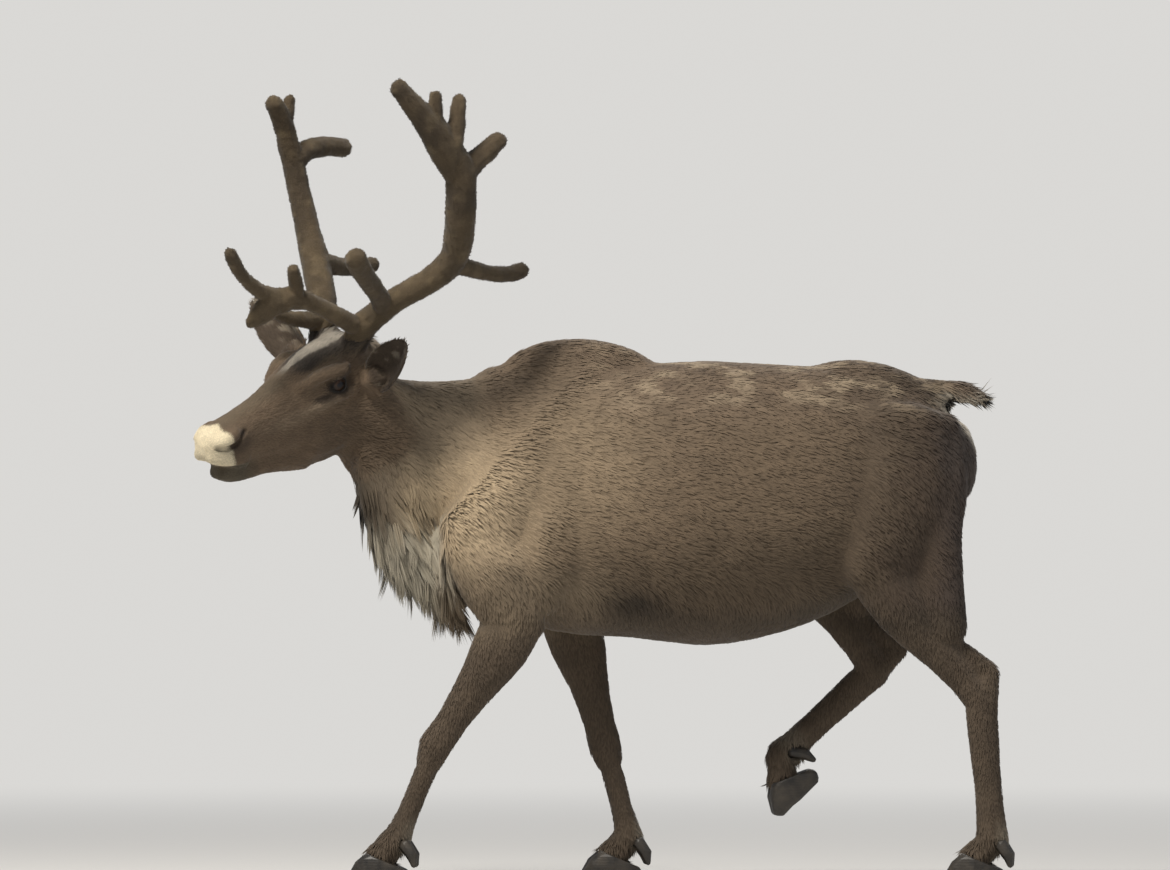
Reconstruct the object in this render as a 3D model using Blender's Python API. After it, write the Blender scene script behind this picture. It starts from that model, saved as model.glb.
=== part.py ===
# A life-size reindeer bull in summer velvet, walking towards -X with its hooves on the plane Z = 0.
# The flesh is lofted from measured stations, fused into one skin and parted with thin cuts into named nodes.
import math
import random

import bmesh
import bpy
import numpy as np
from mathutils import Matrix, Vector
from mathutils.bvhtree import BVHTree

# Driving sizes in metres. -Y is the animal's left side, +Z is up.
GAP = 0.0003
NOSE_TIP = Vector((-0.8256, -0.335, 0.835))
HEAD_YAW = math.radians(42)
HEAD_PITCH = math.radians(21)
HEAD_ROLL = math.radians(12)
EYE_CENTRE = (0.302, 0.0615, 0.024)
EYE_RADIUS = 0.0185
LID_RADIUS = 0.0225
EAR_LENGTH = 0.150
FOOT_SIDE = 0.092
FLESH_VOXEL = 0.0045
ANTLER_VOXEL = 0.0035
BODY_TRIANGLES = 5000
ANTLER_TRIANGLES = (1020, 620)
LOCK_ROWS = 7
LOCKS_ACROSS = 6
LOCK_LENGTH = 0.110
LOCK_WIDTH = 0.046
LOCK_THICKNESS = 0.011
LOCK_RISE = 0.028
SEED = 11

# The cut that parts the neck from the torso.
NECK_BACK = Vector((-0.335, -0.01, 0.765))
NECK_BACK_NORMAL = Vector((0.985, 0, -0.172))

# The middle of the mane, from the throat down to the brisket, and its core's half sizes: above, below, side.
MANE_LINE = (
    (-0.530, -0.106, 0.822),
    (-0.508, -0.092, 0.752),
    (-0.476, -0.068, 0.686),
    (-0.434, -0.044, 0.630),
    (-0.378, -0.024, 0.606),
)
MANE_CORE = (
    (0.036, 0.020, 0.034),
    (0.050, 0.034, 0.044),
    (0.060, 0.044, 0.054),
    (0.060, 0.046, 0.064),
    (0.052, 0.042, 0.072),
)

# Leg joints as (x, z): shoulder or hip, elbow or stifle, knee or hock, fetlock.
FORE_LEFT = ((-0.330, 0.650), (-0.228, 0.505), (-0.384, 0.268), (-0.462, 0.086))
FORE_RIGHT = ((-0.290, 0.650), (-0.136, 0.520), (-0.064, 0.262), (-0.020, 0.086))
HIND_LEFT = ((0.500, 0.850), (0.436, 0.590), (0.648, 0.354), (0.671, 0.086))
HIND_RIGHT = ((0.485, 0.850), (0.290, 0.640), (0.453, 0.408), (0.273, 0.244))


def clearScene():
    for old in list(bpy.data.objects):
        bpy.data.objects.remove(old, do_unlink=True)


def link(name, mesh):
    made = bpy.data.objects.new(name, mesh)
    bpy.context.scene.collection.objects.link(made)
    return made


def meshFrom(name, points, faces):
    mesh = bpy.data.meshes.new(name)
    mesh.from_pydata([tuple(p) for p in points], [], faces)
    mesh.update()
    return mesh


def faceOutwards(mesh):
    work = bmesh.new()
    work.from_mesh(mesh)
    bmesh.ops.recalc_face_normals(work, faces=work.faces)
    if work.calc_volume(signed=True) < 0:
        bmesh.ops.reverse_faces(work, faces=work.faces)
    work.to_mesh(mesh)
    work.free()


def spline(stations, steps):
    # Catmull-Rom rows through the stations, steps rows for each span.
    rows = np.array(stations, float)
    padded = np.vstack([2 * rows[0] - rows[1], rows, 2 * rows[-1] - rows[-2]])
    out = []
    for i in range(1, len(padded) - 2):
        a, b, c, d = padded[i - 1], padded[i], padded[i + 1], padded[i + 2]
        for k in range(steps):
            t = k / steps
            cubic = 2 * b + (c - a) * t + (2 * a - 5 * b + 4 * c - d) * t**2 + (3 * b - a - 3 * c + d) * t**3
            out.append(0.5 * cubic)
    out.append(padded[-2])
    return np.array(out)


def loft(name, stations, ring=20, steps=4, power=2.0, sideAxis=(0, 1, 0), bulge=0.7):
    # A closed tube; a station is x, y, z and its half size above, below and to each side. The ends are round.
    rows = spline(stations, steps)
    centres = rows[:, :3]
    sizes = np.maximum(rows[:, 3:6], 0.001)
    tangents = np.gradient(centres, axis=0)
    tangents /= np.linalg.norm(tangents, axis=1)[:, None]
    side = np.array(sideAxis, float)
    angles = np.arange(ring) * 2 * math.pi / ring
    across = np.sign(np.cos(angles)) * np.abs(np.cos(angles)) ** (2 / power)
    lifted = np.sign(np.sin(angles)) * np.abs(np.sin(angles)) ** (2 / power)

    def ringAt(centre, tangent, size, shrink):
        outward = side - side.dot(tangent) * tangent
        outward /= np.linalg.norm(outward)
        upward = np.cross(tangent, outward)
        height = np.where(lifted > 0, size[0], size[1]) * lifted * shrink
        return centre + np.outer(across * size[2] * shrink, outward) + np.outer(height, upward)

    caps = (25, 50, 72)
    reach = [bulge * min((s[0] + s[1]) / 2, s[2]) for s in (sizes[0], sizes[-1])]
    points = [[centres[0] - tangents[0] * reach[0]]]
    for degrees in caps:
        turn = math.radians(degrees)
        middle = centres[0] - tangents[0] * reach[0] * math.cos(turn)
        points.append(ringAt(middle, tangents[0], sizes[0], math.sin(turn)))
    for centre, tangent, size in zip(centres, tangents, sizes):
        points.append(ringAt(centre, tangent, size, 1.0))
    for degrees in reversed(caps):
        turn = math.radians(degrees)
        middle = centres[-1] + tangents[-1] * reach[1] * math.cos(turn)
        points.append(ringAt(middle, tangents[-1], sizes[-1], math.sin(turn)))
    points.append([centres[-1] + tangents[-1] * reach[1]])
    flat = np.vstack(points)
    rings = len(points) - 2
    faces = []
    for j in range(ring):
        k = (j + 1) % ring
        faces.append((0, 1 + k, 1 + j))
        for r in range(rings - 1):
            low, high = 1 + r * ring, 1 + (r + 1) * ring
            faces.append((low + j, low + k, high + k, high + j))
        last = 1 + (rings - 1) * ring
        faces.append((last + j, last + k, len(flat) - 1))
    mesh = meshFrom(name, flat, faces)
    faceOutwards(mesh)
    return link(name, mesh)


def branch(name, points, radii, flatten=1.0, ring=14, sideAxis=(0, 1, 0)):
    # A round tapered limb; flatten below 1 narrows it sideways.
    return loft(
        name,
        [(*p, r, r, r * flatten) for p, r in zip(points, radii)],
        ring=ring, steps=3, sideAxis=sideAxis, bulge=1.0,
    )


def ball(name, centre, radii, turnY=0.0, segments=24):
    work = bmesh.new()
    bmesh.ops.create_uvsphere(work, u_segments=segments, v_segments=segments * 2 // 3, radius=1.0)
    mesh = bpy.data.meshes.new(name)
    work.to_mesh(mesh)
    work.free()
    turned = Matrix.Rotation(math.radians(turnY), 4, "Y")
    mesh.transform(Matrix.Translation(centre) @ turned @ Matrix.Diagonal((*radii, 1)))
    return link(name, mesh)


def evaluated(obj, name):
    bpy.context.view_layer.update()
    graph = bpy.context.evaluated_depsgraph_get()
    mesh = bpy.data.meshes.new_from_object(obj.evaluated_get(graph))
    made = link(name, mesh)
    bpy.data.objects.remove(obj, do_unlink=True)
    made.name = name
    return made


def joined(name, pieces):
    work = bmesh.new()
    for piece in pieces:
        work.from_mesh(piece.data)
    mesh = bpy.data.meshes.new(name)
    work.to_mesh(mesh)
    work.free()
    for piece in pieces:
        bpy.data.objects.remove(piece, do_unlink=True)
    return link(name, mesh)


def fused(name, pieces, voxel):
    whole = joined(name, pieces)
    skin = whole.modifiers.new("skin", "REMESH")
    skin.mode = "VOXEL"
    skin.voxel_size = voxel
    return evaluated(whole, name)


def weighted(obj, groupName, weights):
    group = obj.vertex_groups.new(name=groupName)
    rounded = np.round(weights * 50) / 50
    for level in np.unique(rounded):
        group.add([int(i) for i in np.flatnonzero(rounded == level)], float(level), "REPLACE")
    return group.name


def softened(obj, iterations, weights=None):
    soften = obj.modifiers.new("soften", "SMOOTH")
    soften.factor = 0.5
    soften.iterations = iterations
    if weights is not None:
        soften.vertex_group = weighted(obj, "soft", weights)
    return evaluated(obj, obj.name)


def thinned(obj, triangles, freely=None):
    # Collapses edges down to a triangle count; a vertex with a low weight keeps its detail.
    count = sum(len(p.vertices) - 2 for p in obj.data.polygons)
    thin = obj.modifiers.new("thin", "DECIMATE")
    thin.ratio = min(1.0, triangles / count)
    thin.use_collapse_triangulate = True
    if freely is not None:
        thin.vertex_group = weighted(obj, "freely", freely)
        thin.vertex_group_factor = 1.0
    return evaluated(obj, obj.name)


def vertexPlaces(obj):
    flat = np.empty(len(obj.data.vertices) * 3)
    obj.data.vertices.foreach_get("co", flat)
    return flat.reshape(-1, 3)


def combined(obj, pieces, operation, solver="MANIFOLD"):
    # One Boolean over a collection of closed meshes, which are removed afterwards.
    tools = bpy.data.collections.new("tools")
    bpy.context.scene.collection.children.link(tools)
    for piece in pieces:
        tools.objects.link(piece)
        bpy.context.scene.collection.objects.unlink(piece)
    cut = obj.modifiers.new("combine", "BOOLEAN")
    cut.operation = operation
    cut.operand_type = "COLLECTION"
    cut.collection = tools
    cut.solver = solver
    made = evaluated(obj, obj.name)
    for piece in list(tools.objects):
        bpy.data.objects.remove(piece, do_unlink=True)
    bpy.data.collections.remove(tools)
    return made


def headFrame():
    back = Vector(
        (
            math.cos(HEAD_PITCH) * math.cos(HEAD_YAW),
            math.cos(HEAD_PITCH) * math.sin(HEAD_YAW),
            math.sin(HEAD_PITCH),
        )
    )
    level = Vector((math.sin(HEAD_YAW), -math.cos(HEAD_YAW), 0))
    up = level.cross(back)
    left = level * math.cos(HEAD_ROLL) - up * math.sin(HEAD_ROLL)
    top = up * math.cos(HEAD_ROLL) + level * math.sin(HEAD_ROLL)
    return Matrix.Translation(NOSE_TIP) @ Matrix((back, left, top)).transposed().to_4x4()


# The head's own frame: back from the nose tip, to the animal's left, and up.
HEAD = headFrame()


def headPiece(obj):
    obj.data.transform(HEAD)
    faceOutwards(obj.data)
    return obj


def headLoft(name, stations, mirror=False, **options):
    made = []
    for sign in (1, -1) if mirror else (1,):
        rows = [(s[0], s[1] * sign, *s[2:]) for s in stations]
        made.append(headPiece(loft(f"{name}_{sign}", rows, **options)))
    return made


def headForms():
    forms = headLoft(
        "skull",
        [
            (0.014, 0, -0.010, 0.026, 0.026, 0.030),
            (0.032, 0, -0.014, 0.040, 0.036, 0.040),
            (0.060, 0, -0.018, 0.049, 0.044, 0.041),
            (0.100, 0, -0.022, 0.058, 0.052, 0.039),
            (0.150, 0, -0.028, 0.071, 0.060, 0.043),
            (0.200, 0, -0.030, 0.085, 0.070, 0.050),
            (0.250, 0, -0.028, 0.096, 0.078, 0.060),
            (0.300, 0, -0.022, 0.102, 0.084, 0.068),
            (0.350, 0, -0.012, 0.098, 0.084, 0.068),
            (0.395, 0, -0.004, 0.086, 0.080, 0.062),
            (0.435, 0, -0.004, 0.066, 0.072, 0.054),
        ],
        ring=28, power=2.25,
    )
    forms += headLoft(
        "jaw",
        [
            (0.030, 0, -0.066, 0.014, 0.015, 0.022),
            (0.054, 0, -0.076, 0.018, 0.019, 0.029),
            (0.085, 0, -0.084, 0.024, 0.018, 0.031),
            (0.130, 0, -0.086, 0.030, 0.022, 0.033),
            (0.180, 0, -0.090, 0.040, 0.032, 0.037),
            (0.230, 0, -0.092, 0.050, 0.047, 0.044),
            (0.280, 0, -0.084, 0.056, 0.068, 0.049),
            (0.325, 0, -0.066, 0.056, 0.080, 0.049),
        ],
        ring=24, power=2.3,
    )
    forms += headLoft(
        "cheek",
        [
            (0.205, 0.034, -0.068, 0.022, 0.026, 0.012),
            (0.255, 0.044, -0.074, 0.036, 0.042, 0.016),
            (0.305, 0.049, -0.068, 0.042, 0.050, 0.018),
            (0.350, 0.046, -0.046, 0.036, 0.040, 0.016),
        ],
        mirror=True,
    )
    forms += headLoft(
        "brow",
        [
            (0.225, 0.040, 0.034, 0.014, 0.014, 0.010),
            (0.262, 0.056, 0.050, 0.013, 0.012, 0.012),
            (0.295, 0.064, 0.052, 0.013, 0.012, 0.012),
            (0.330, 0.062, 0.042, 0.013, 0.014, 0.012),
        ],
        mirror=True,
    )
    forms += headLoft(
        "cheekbone",
        [
            (0.205, 0.040, -0.014, 0.011, 0.012, 0.009),
            (0.255, 0.056, -0.006, 0.010, 0.011, 0.010),
            (0.300, 0.067, 0.000, 0.010, 0.011, 0.010),
            (0.345, 0.067, 0.004, 0.012, 0.012, 0.010),
        ],
        mirror=True,
    )
    forms += headLoft(
        "nostril_wing",
        [
            (0.014, 0.026, -0.004, 0.012, 0.012, 0.010),
            (0.036, 0.034, 0.004, 0.014, 0.013, 0.011),
            (0.062, 0.034, 0.010, 0.012, 0.012, 0.010),
        ],
        mirror=True,
    )
    forms += headLoft(
        "lip",
        [
            (0.004, 0.012, -0.024, 0.014, 0.012, 0.014),
            (0.022, 0.026, -0.032, 0.016, 0.014, 0.012),
            (0.048, 0.032, -0.044, 0.016, 0.014, 0.011),
            (0.076, 0.031, -0.054, 0.016, 0.013, 0.010),
        ],
        mirror=True,
    )
    forms += headLoft(
        "pedicle",
        [
            (0.362, 0.036, 0.050, 0.026, 0.026, 0.024),
            (0.376, 0.042, 0.072, 0.025, 0.025, 0.023),
            (0.387, 0.048, 0.092, 0.024, 0.024, 0.023),
        ],
        mirror=True,
        sideAxis=(0, 1, 0),
        bulge=0.3,
    )
    for sign, (base, direction, cup) in EARS.items():
        root = HEAD @ Vector(base)
        way = Vector(direction).normalized()
        inside = HEAD @ Vector((base[0] + 0.004, base[1] * 0.45, base[2] - 0.004))
        stations = [(*inside, 0.030, 0.030, 0.026), (*along(inside, root, 0.6), 0.029, 0.029, 0.026)]
        stations += [(*(root + way * 0.004), 0.027, 0.027, 0.025), (*(root + way * 0.030), 0.018, 0.018, 0.021)]
        forms.append(loft(f"ear_root_{sign}", stations, sideAxis=way.cross(Vector(cup)), bulge=0.3))
    return forms


def torsoForms():
    rows = [
        (-0.340, 0.880, 0.575, 0.105),
        (-0.270, 0.955, 0.520, 0.140),
        (-0.200, 0.990, 0.492, 0.160),
        (-0.110, 1.000, 0.474, 0.176),
        (-0.010, 0.996, 0.468, 0.196),
        (0.080, 0.998, 0.458, 0.212),
        (0.130, 1.000, 0.454, 0.217),
        (0.200, 1.001, 0.466, 0.216),
        (0.280, 1.002, 0.494, 0.208),
        (0.360, 1.002, 0.536, 0.194),
        (0.440, 0.994, 0.590, 0.172),
        (0.515, 0.966, 0.645, 0.146),
        (0.580, 0.900, 0.705, 0.108),
    ]
    stations = []
    for x, top, bottom, side in rows:
        middle = bottom + 0.47 * (top - bottom)
        stations.append((x, 0, middle, top - middle, middle - bottom, side))
    return [
        loft("trunk", stations, ring=36, power=2.15),
        ball("withers", (-0.112, 0, 0.946), (0.172, 0.085, 0.096), 2),
        ball("croup", (0.430, 0, 0.905), (0.165, 0.095, 0.094), 9),
        ball("breast", (-0.350, -0.008, 0.640), (0.080, 0.112, 0.118)),
    ]


def neckForms():
    return [
        loft(
            "neck",
            [
                (-0.548, -0.100, 0.920, 0.080, 0.080, 0.060),
                (-0.500, -0.072, 0.876, 0.110, 0.104, 0.068),
                (-0.440, -0.042, 0.832, 0.152, 0.122, 0.080),
                (-0.370, -0.016, 0.796, 0.188, 0.150, 0.100),
                (-0.290, 0.000, 0.780, 0.210, 0.190, 0.130),
                (-0.200, 0.000, 0.775, 0.218, 0.205, 0.150),
            ],
            ring=32,
        ),
        loft("mane_core", [(*p, *size) for p, size in zip(MANE_LINE, MANE_CORE)], ring=24),
    ]


def along(start, end, share):
    return start + (end - start) * share


def foreLeg(tag, sign, joints):
    (tx, tz), (mx, mz), (lx, lz), (fx, fz) = joints
    elbow, foot = sign * 0.114, sign * FOOT_SIDE
    knee = sign * 0.098
    side = sign * 0.124
    return [
        loft(f"blade_{tag}", [
            (-0.085, sign * 0.074, 0.945, 0.050, 0.055, 0.034),
            (-0.160, sign * 0.104, 0.860, 0.085, 0.070, 0.042),
            (-0.250, sign * 0.122, 0.745, 0.092, 0.070, 0.046),
            (tx, side, tz + 0.010, 0.076, 0.060, 0.050),
        ]),
        loft(f"arm_{tag}", [
            (tx + 0.010, side, tz + 0.015, 0.080, 0.068, 0.050),
            (along(tx, mx, 0.5), sign * 0.128, along(tz, mz, 0.5) + 0.008, 0.086, 0.072, 0.052),
            (mx - 0.004, elbow, mz - 0.004, 0.062, 0.058, 0.046),
        ]),
        loft(f"triceps_{tag}", [
            (-0.120, sign * 0.112, 0.810, 0.060, 0.070, 0.040),
            (-0.140, sign * 0.130, 0.700, 0.070, 0.078, 0.044),
            (along(mx, -0.120, 0.5), sign * 0.128, 0.605, 0.062, 0.062, 0.042),
            (mx + 0.034, elbow, mz + 0.026, 0.032, 0.036, 0.030),
        ]),
        loft(f"forearm_{tag}", [
            (mx - 0.004, elbow, mz + 0.010, 0.062, 0.060, 0.046),
            (along(mx, lx, 0.25), elbow, along(mz, lz, 0.25), 0.056, 0.055, 0.041),
            (along(mx, lx, 0.55), along(elbow, knee, 0.5), along(mz, lz, 0.55), 0.041, 0.038, 0.032),
            (along(mx, lx, 0.82), knee, along(mz, lz, 0.82), 0.032, 0.031, 0.028),
            (lx, knee, lz, 0.032, 0.034, 0.030),
            (along(lx, fx, 0.16), knee, along(lz, fz, 0.16), 0.028, 0.029, 0.026),
        ]),
        loft(f"cannon_{tag}", [
            (lx, knee, lz, 0.028, 0.031, 0.028),
            (along(lx, fx, 0.22), knee, along(lz, fz, 0.22), 0.024, 0.023, 0.023),
            (along(lx, fx, 0.62), foot, along(lz, fz, 0.62), 0.023, 0.020, 0.022),
            (along(lx, fx, 0.86), foot, along(lz, fz, 0.86), 0.026, 0.023, 0.025),
            (fx, foot, fz, 0.030, 0.027, 0.030),
        ]),
    ]


def hindLeg(tag, sign, joints):
    (tx, tz), (mx, mz), (lx, lz), (fx, fz) = joints
    stifle, hock, foot = sign * 0.126, sign * 0.100, sign * FOOT_SIDE
    shank = Vector((lx - mx, 0, lz - mz)).normalized()
    cannon = Vector((fx - lx, 0, fz - lz)).normalized()
    joint = Vector((lx, hock, lz))
    heel = joint - cannon * 0.030 + Vector((-shank.z, 0, shank.x)) * 0.034
    return [
        loft(f"thigh_{tag}", [
            (tx - 0.010, sign * 0.098, tz + 0.030, 0.105, 0.115, 0.062),
            (along(tx, mx, 0.35), sign * 0.118, along(tz, mz, 0.35), 0.120, 0.105, 0.067),
            (along(tx, mx, 0.72), sign * 0.128, along(tz, mz, 0.72), 0.098, 0.085, 0.059),
            (mx, stifle, mz, 0.072, 0.062, 0.049),
        ]),
        loft(f"ham_{tag}", [
            (0.550, sign * 0.074, 0.870, 0.062, 0.080, 0.050),
            (0.566, sign * 0.090, 0.760, 0.062, 0.078, 0.056),
            (along(0.560, mx + 0.120, 0.45), sign * 0.104, 0.660, 0.060, 0.072, 0.050),
            (along(mx, lx, 0.60) + 0.022, sign * 0.110, along(mz, lz, 0.46), 0.042, 0.048, 0.036),
        ]),
        loft(f"shank_{tag}", [
            (mx + 0.010, stifle, mz + 0.012, 0.070, 0.062, 0.048),
            (along(mx, lx, 0.30), sign * 0.120, along(mz, lz, 0.30), 0.060, 0.052, 0.042),
            (along(mx, lx, 0.62), sign * 0.108, along(mz, lz, 0.62), 0.041, 0.036, 0.031),
            (along(mx, lx, 0.86), hock, along(mz, lz, 0.86), 0.031, 0.030, 0.027),
            (lx, hock, lz, 0.034, 0.032, 0.029),
        ]),
        loft(f"cord_{tag}", [
            (along(mx, lx, 0.5) + 0.030, sign * 0.108, along(mz, lz, 0.5) + 0.004, 0.022, 0.026, 0.018),
            (along(mx, heel.x, 0.80) - 0.006, hock, along(mz, heel.z, 0.80), 0.019, 0.021, 0.016),
            (*heel, 0.017, 0.018, 0.016),
        ]),
        loft(f"hock_{tag}", [
            (*heel, 0.017, 0.016, 0.017),
            (*((heel + joint * 2) / 3 + cannon * 0.026), 0.027, 0.027, 0.025),
            (*(joint + cannon * 0.070), 0.025, 0.025, 0.023),
        ]),
        loft(f"cannon_{tag}", [
            (lx, hock, lz, 0.034, 0.031, 0.027),
            (along(lx, fx, 0.22), hock, along(lz, fz, 0.22), 0.032, 0.030, 0.024),
            (along(lx, fx, 0.60), foot, along(lz, fz, 0.60), 0.029, 0.027, 0.022),
            (along(lx, fx, 0.86), foot, along(lz, fz, 0.86), 0.031, 0.027, 0.025),
            (fx, foot, fz, 0.034, 0.031, 0.030),
        ]),
    ]


def tailForm():
    return loft("tail", [
        (0.500, 0, 0.945, 0.024, 0.030, 0.030),
        (0.548, 0, 0.948, 0.020, 0.026, 0.026),
        (0.590, 0, 0.944, 0.018, 0.023, 0.024),
        (0.625, 0, 0.935, 0.014, 0.018, 0.019),
        (0.646, 0, 0.928, 0.008, 0.010, 0.010),
    ], ring=16)


def footFrame(sign, joints, toesDown=0.0):
    # Local x runs forward, y to the animal's left and z up; the fetlock is the origin.
    fx, fz = joints[3]
    place = Matrix.Translation((fx, sign * FOOT_SIDE, fz))
    facing = Matrix.Rotation(math.pi + math.radians(4 * sign), 4, "Z")
    return place @ facing @ Matrix.Rotation(math.radians(toesDown), 4, "Y")


CORONET_POINT = Vector((0.030, 0, -0.036))
CORONET_NORMAL = Vector((-0.42, 0, 1)).normalized()
FOOT_DROP = 0.086


def pastern(tag, frame):
    rows = [
        (-0.002, 0, 0.004, 0.030, 0.028, 0.030),
        (0.016, 0, -0.020, 0.030, 0.027, 0.030),
        (0.034, 0, -0.042, 0.034, 0.030, 0.036),
        (0.046, 0, -0.058, 0.034, 0.030, 0.037),
    ]
    made = loft(f"pastern_{tag}", rows, bulge=0.2)
    made.data.transform(frame)
    faceOutwards(made.data)
    return made


def clipped(obj, point, normal, keepAbove):
    # Cuts a closed mesh with a plane and closes it flat.
    work = bmesh.new()
    work.from_mesh(obj.data)
    everything = work.verts[:] + work.edges[:] + work.faces[:]
    bmesh.ops.bisect_plane(
        work, geom=everything, dist=1e-6, plane_co=point, plane_no=normal,
        clear_inner=keepAbove, clear_outer=not keepAbove,
    )
    rim = [e for e in work.edges if e.is_boundary]
    bmesh.ops.holes_fill(work, edges=rim)
    bmesh.ops.triangulate(work, faces=work.faces)
    work.to_mesh(obj.data)
    work.free()
    faceOutwards(obj.data)
    return obj


def hoof(name, frame, side):
    # One claw: flat sole, rounded toe turned a little inwards, its top cut along the coronet.
    rows = [
        (-0.014, 0.023, -0.072, 0.014, 0.016, 0.013),
        (0.010, 0.026, -0.060, 0.028, 0.028, 0.021),
        (0.038, 0.027, -0.054, 0.033, 0.034, 0.023),
        (0.060, 0.025, -0.060, 0.025, 0.028, 0.021),
        (0.080, 0.019, -0.073, 0.012, 0.015, 0.014),
    ]
    made = loft(name, [(r[0], r[1] * side, *r[2:]) for r in rows], ring=14, steps=2, power=2.3)
    for vertex in made.data.vertices:
        if vertex.co.z < -FOOT_DROP:
            vertex.co.z = -FOOT_DROP
        inner = 0.0022
        if vertex.co.y * side < inner:
            vertex.co.y = inner * side
    made = thinned(made, 130)
    clipped(made, CORONET_POINT - CORONET_NORMAL * GAP / 2, CORONET_NORMAL, False)
    made.data.transform(frame)
    faceOutwards(made.data)
    return made


def dewclaw(name, frame, side, grow=0.0):
    points = [(-0.020, 0.020 * side, -0.012), (-0.032, 0.024 * side, -0.030), (-0.036, 0.025 * side, -0.048)]
    made = thinned(branch(name, points, [0.013, 0.0115, 0.006], ring=8), 52)
    made.data.transform(frame)
    faceOutwards(made.data)
    return grown(made, grow)


def grown(obj, amount):
    # Pushes every vertex out along its normal, for the bed that a piece sits in.
    work = bmesh.new()
    work.from_mesh(obj.data)
    work.normal_update()
    for vertex in work.verts:
        vertex.co += vertex.normal * amount * vertex.calc_shell_factor()
    work.to_mesh(obj.data)
    work.free()
    return obj


def antlerLeft():
    beam = [
        (0.378, 0.042, 0.066), (0.388, 0.050, 0.088), (0.397, 0.060, 0.108), (0.408, 0.080, 0.126),
        (0.427, 0.120, 0.159), (0.459, 0.160, 0.184), (0.490, 0.195, 0.210), (0.508, 0.221, 0.248),
        (0.512, 0.236, 0.302), (0.517, 0.245, 0.360), (0.524, 0.245, 0.402), (0.520, 0.240, 0.436),
    ]
    return [
        branch("beam", beam, [.024, .0255, .026, .024, .023, .0235, .025, .026, .0285, .0285, .029, .028]),
        branch(
            "palm",
            [(0.524, 0.245, 0.400), (0.505, 0.238, 0.455), (0.485, 0.230, 0.508), (0.460, 0.220, 0.556),
             (0.431, 0.206, 0.613)],
            [.027, .034, .030, .023, .0175], flatten=0.72,
        ),
        branch("point_a", [(0.492, 0.232, 0.505), (0.497, 0.229, 0.542), (0.505, 0.226, 0.571)],
               [.018, .0135, .0115]),
        branch("point_b", [(0.515, 0.240, 0.470), (0.538, 0.238, 0.503), (0.559, 0.231, 0.542)],
               [.022, .0165, .0135]),
        branch("point_c", [(0.530, 0.244, 0.405), (0.560, 0.247, 0.418), (0.590, 0.251, 0.428),
                           (0.620, 0.255, 0.441)], [.024, .021, .0195, .0180]),
        branch("rear", [(0.500, 0.208, 0.228), (0.540, 0.212, 0.202), (0.587, 0.215, 0.173),
                        (0.635, 0.218, 0.153), (0.668, 0.220, 0.149)], [.019, .0165, .0145, .0150, .0155]),
        branch("bez", [(0.412, 0.104, 0.148), (0.384, 0.124, 0.188), (0.351, 0.142, 0.229),
                       (0.320, 0.158, 0.270), (0.298, 0.171, 0.304)], [.019, .0180, .0185, .020, .0210]),
        branch("stem", [(0.392, 0.054, 0.100), (0.351, 0.056, 0.135), (0.300, 0.050, 0.181),
                        (0.266, 0.042, 0.207), (0.230, 0.034, 0.219)], [.019, .017, .016, .018, .022]),
        branch("shovel", [(0.262, 0.040, 0.210), (0.207, 0.030, 0.222), (0.171, 0.022, 0.207),
                          (0.145, 0.017, 0.197)], [.017, .028, .023, .012], flatten=0.55),
        branch("long_tine", [(0.222, 0.030, 0.222), (0.173, 0.026, 0.259), (0.139, 0.026, 0.299),
                             (0.116, 0.030, 0.346), (0.111, 0.032, 0.360)], [.017, .0135, .0125, .0125, .0120]),
        branch("short_tine", [(0.256, 0.040, 0.205), (0.249, 0.048, 0.243), (0.243, 0.054, 0.279)],
               [.015, .0130, .0125]),
    ]


def antlerRight():
    beam = [
        (0.378, -0.042, 0.066), (0.388, -0.046, 0.080), (0.404, -0.058, 0.108), (0.429, -0.085, 0.129),
        (0.456, -0.118, 0.155), (0.487, -0.160, 0.194), (0.511, -0.195, 0.238), (0.530, -0.222, 0.285),
        (0.539, -0.238, 0.332), (0.538, -0.245, 0.385), (0.536, -0.247, 0.415),
    ]
    return [
        branch("beam", beam, [.024, .0255, .026, .025, .027, .0245, .022, .021, .0205, .0190, .0180]),
        branch("top_a", [(0.537, -0.246, 0.400), (0.528, -0.246, 0.434), (0.517, -0.244, 0.459)],
               [.018, .0175, .0165]),
        branch("top_b", [(0.538, -0.247, 0.402), (0.553, -0.250, 0.427), (0.566, -0.252, 0.447)],
               [.016, .0130, .0105]),
        branch("back_top", [(0.541, -0.238, 0.331), (0.581, -0.242, 0.338), (0.634, -0.248, 0.325),
                            (0.684, -0.252, 0.303)], [.020, .0190, .0180, .0175]),
        branch("rear", [(0.478, -0.128, 0.168), (0.534, -0.142, 0.134), (0.588, -0.150, 0.111),
                        (0.630, -0.156, 0.099)], [.019, .0165, .0150, .0150]),
        branch("brow_tine", [(0.394, -0.048, 0.095), (0.343, -0.046, 0.117), (0.300, -0.046, 0.138),
                             (0.270, -0.044, 0.158)], [.018, .0150, .0130, .0110]),
    ]


def antler(name, pieces, triangles):
    for piece in pieces:
        headPiece(piece)
    whole = softened(fused(name, pieces, ANTLER_VOXEL), 5)
    return thinned(whole, triangles)


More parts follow.
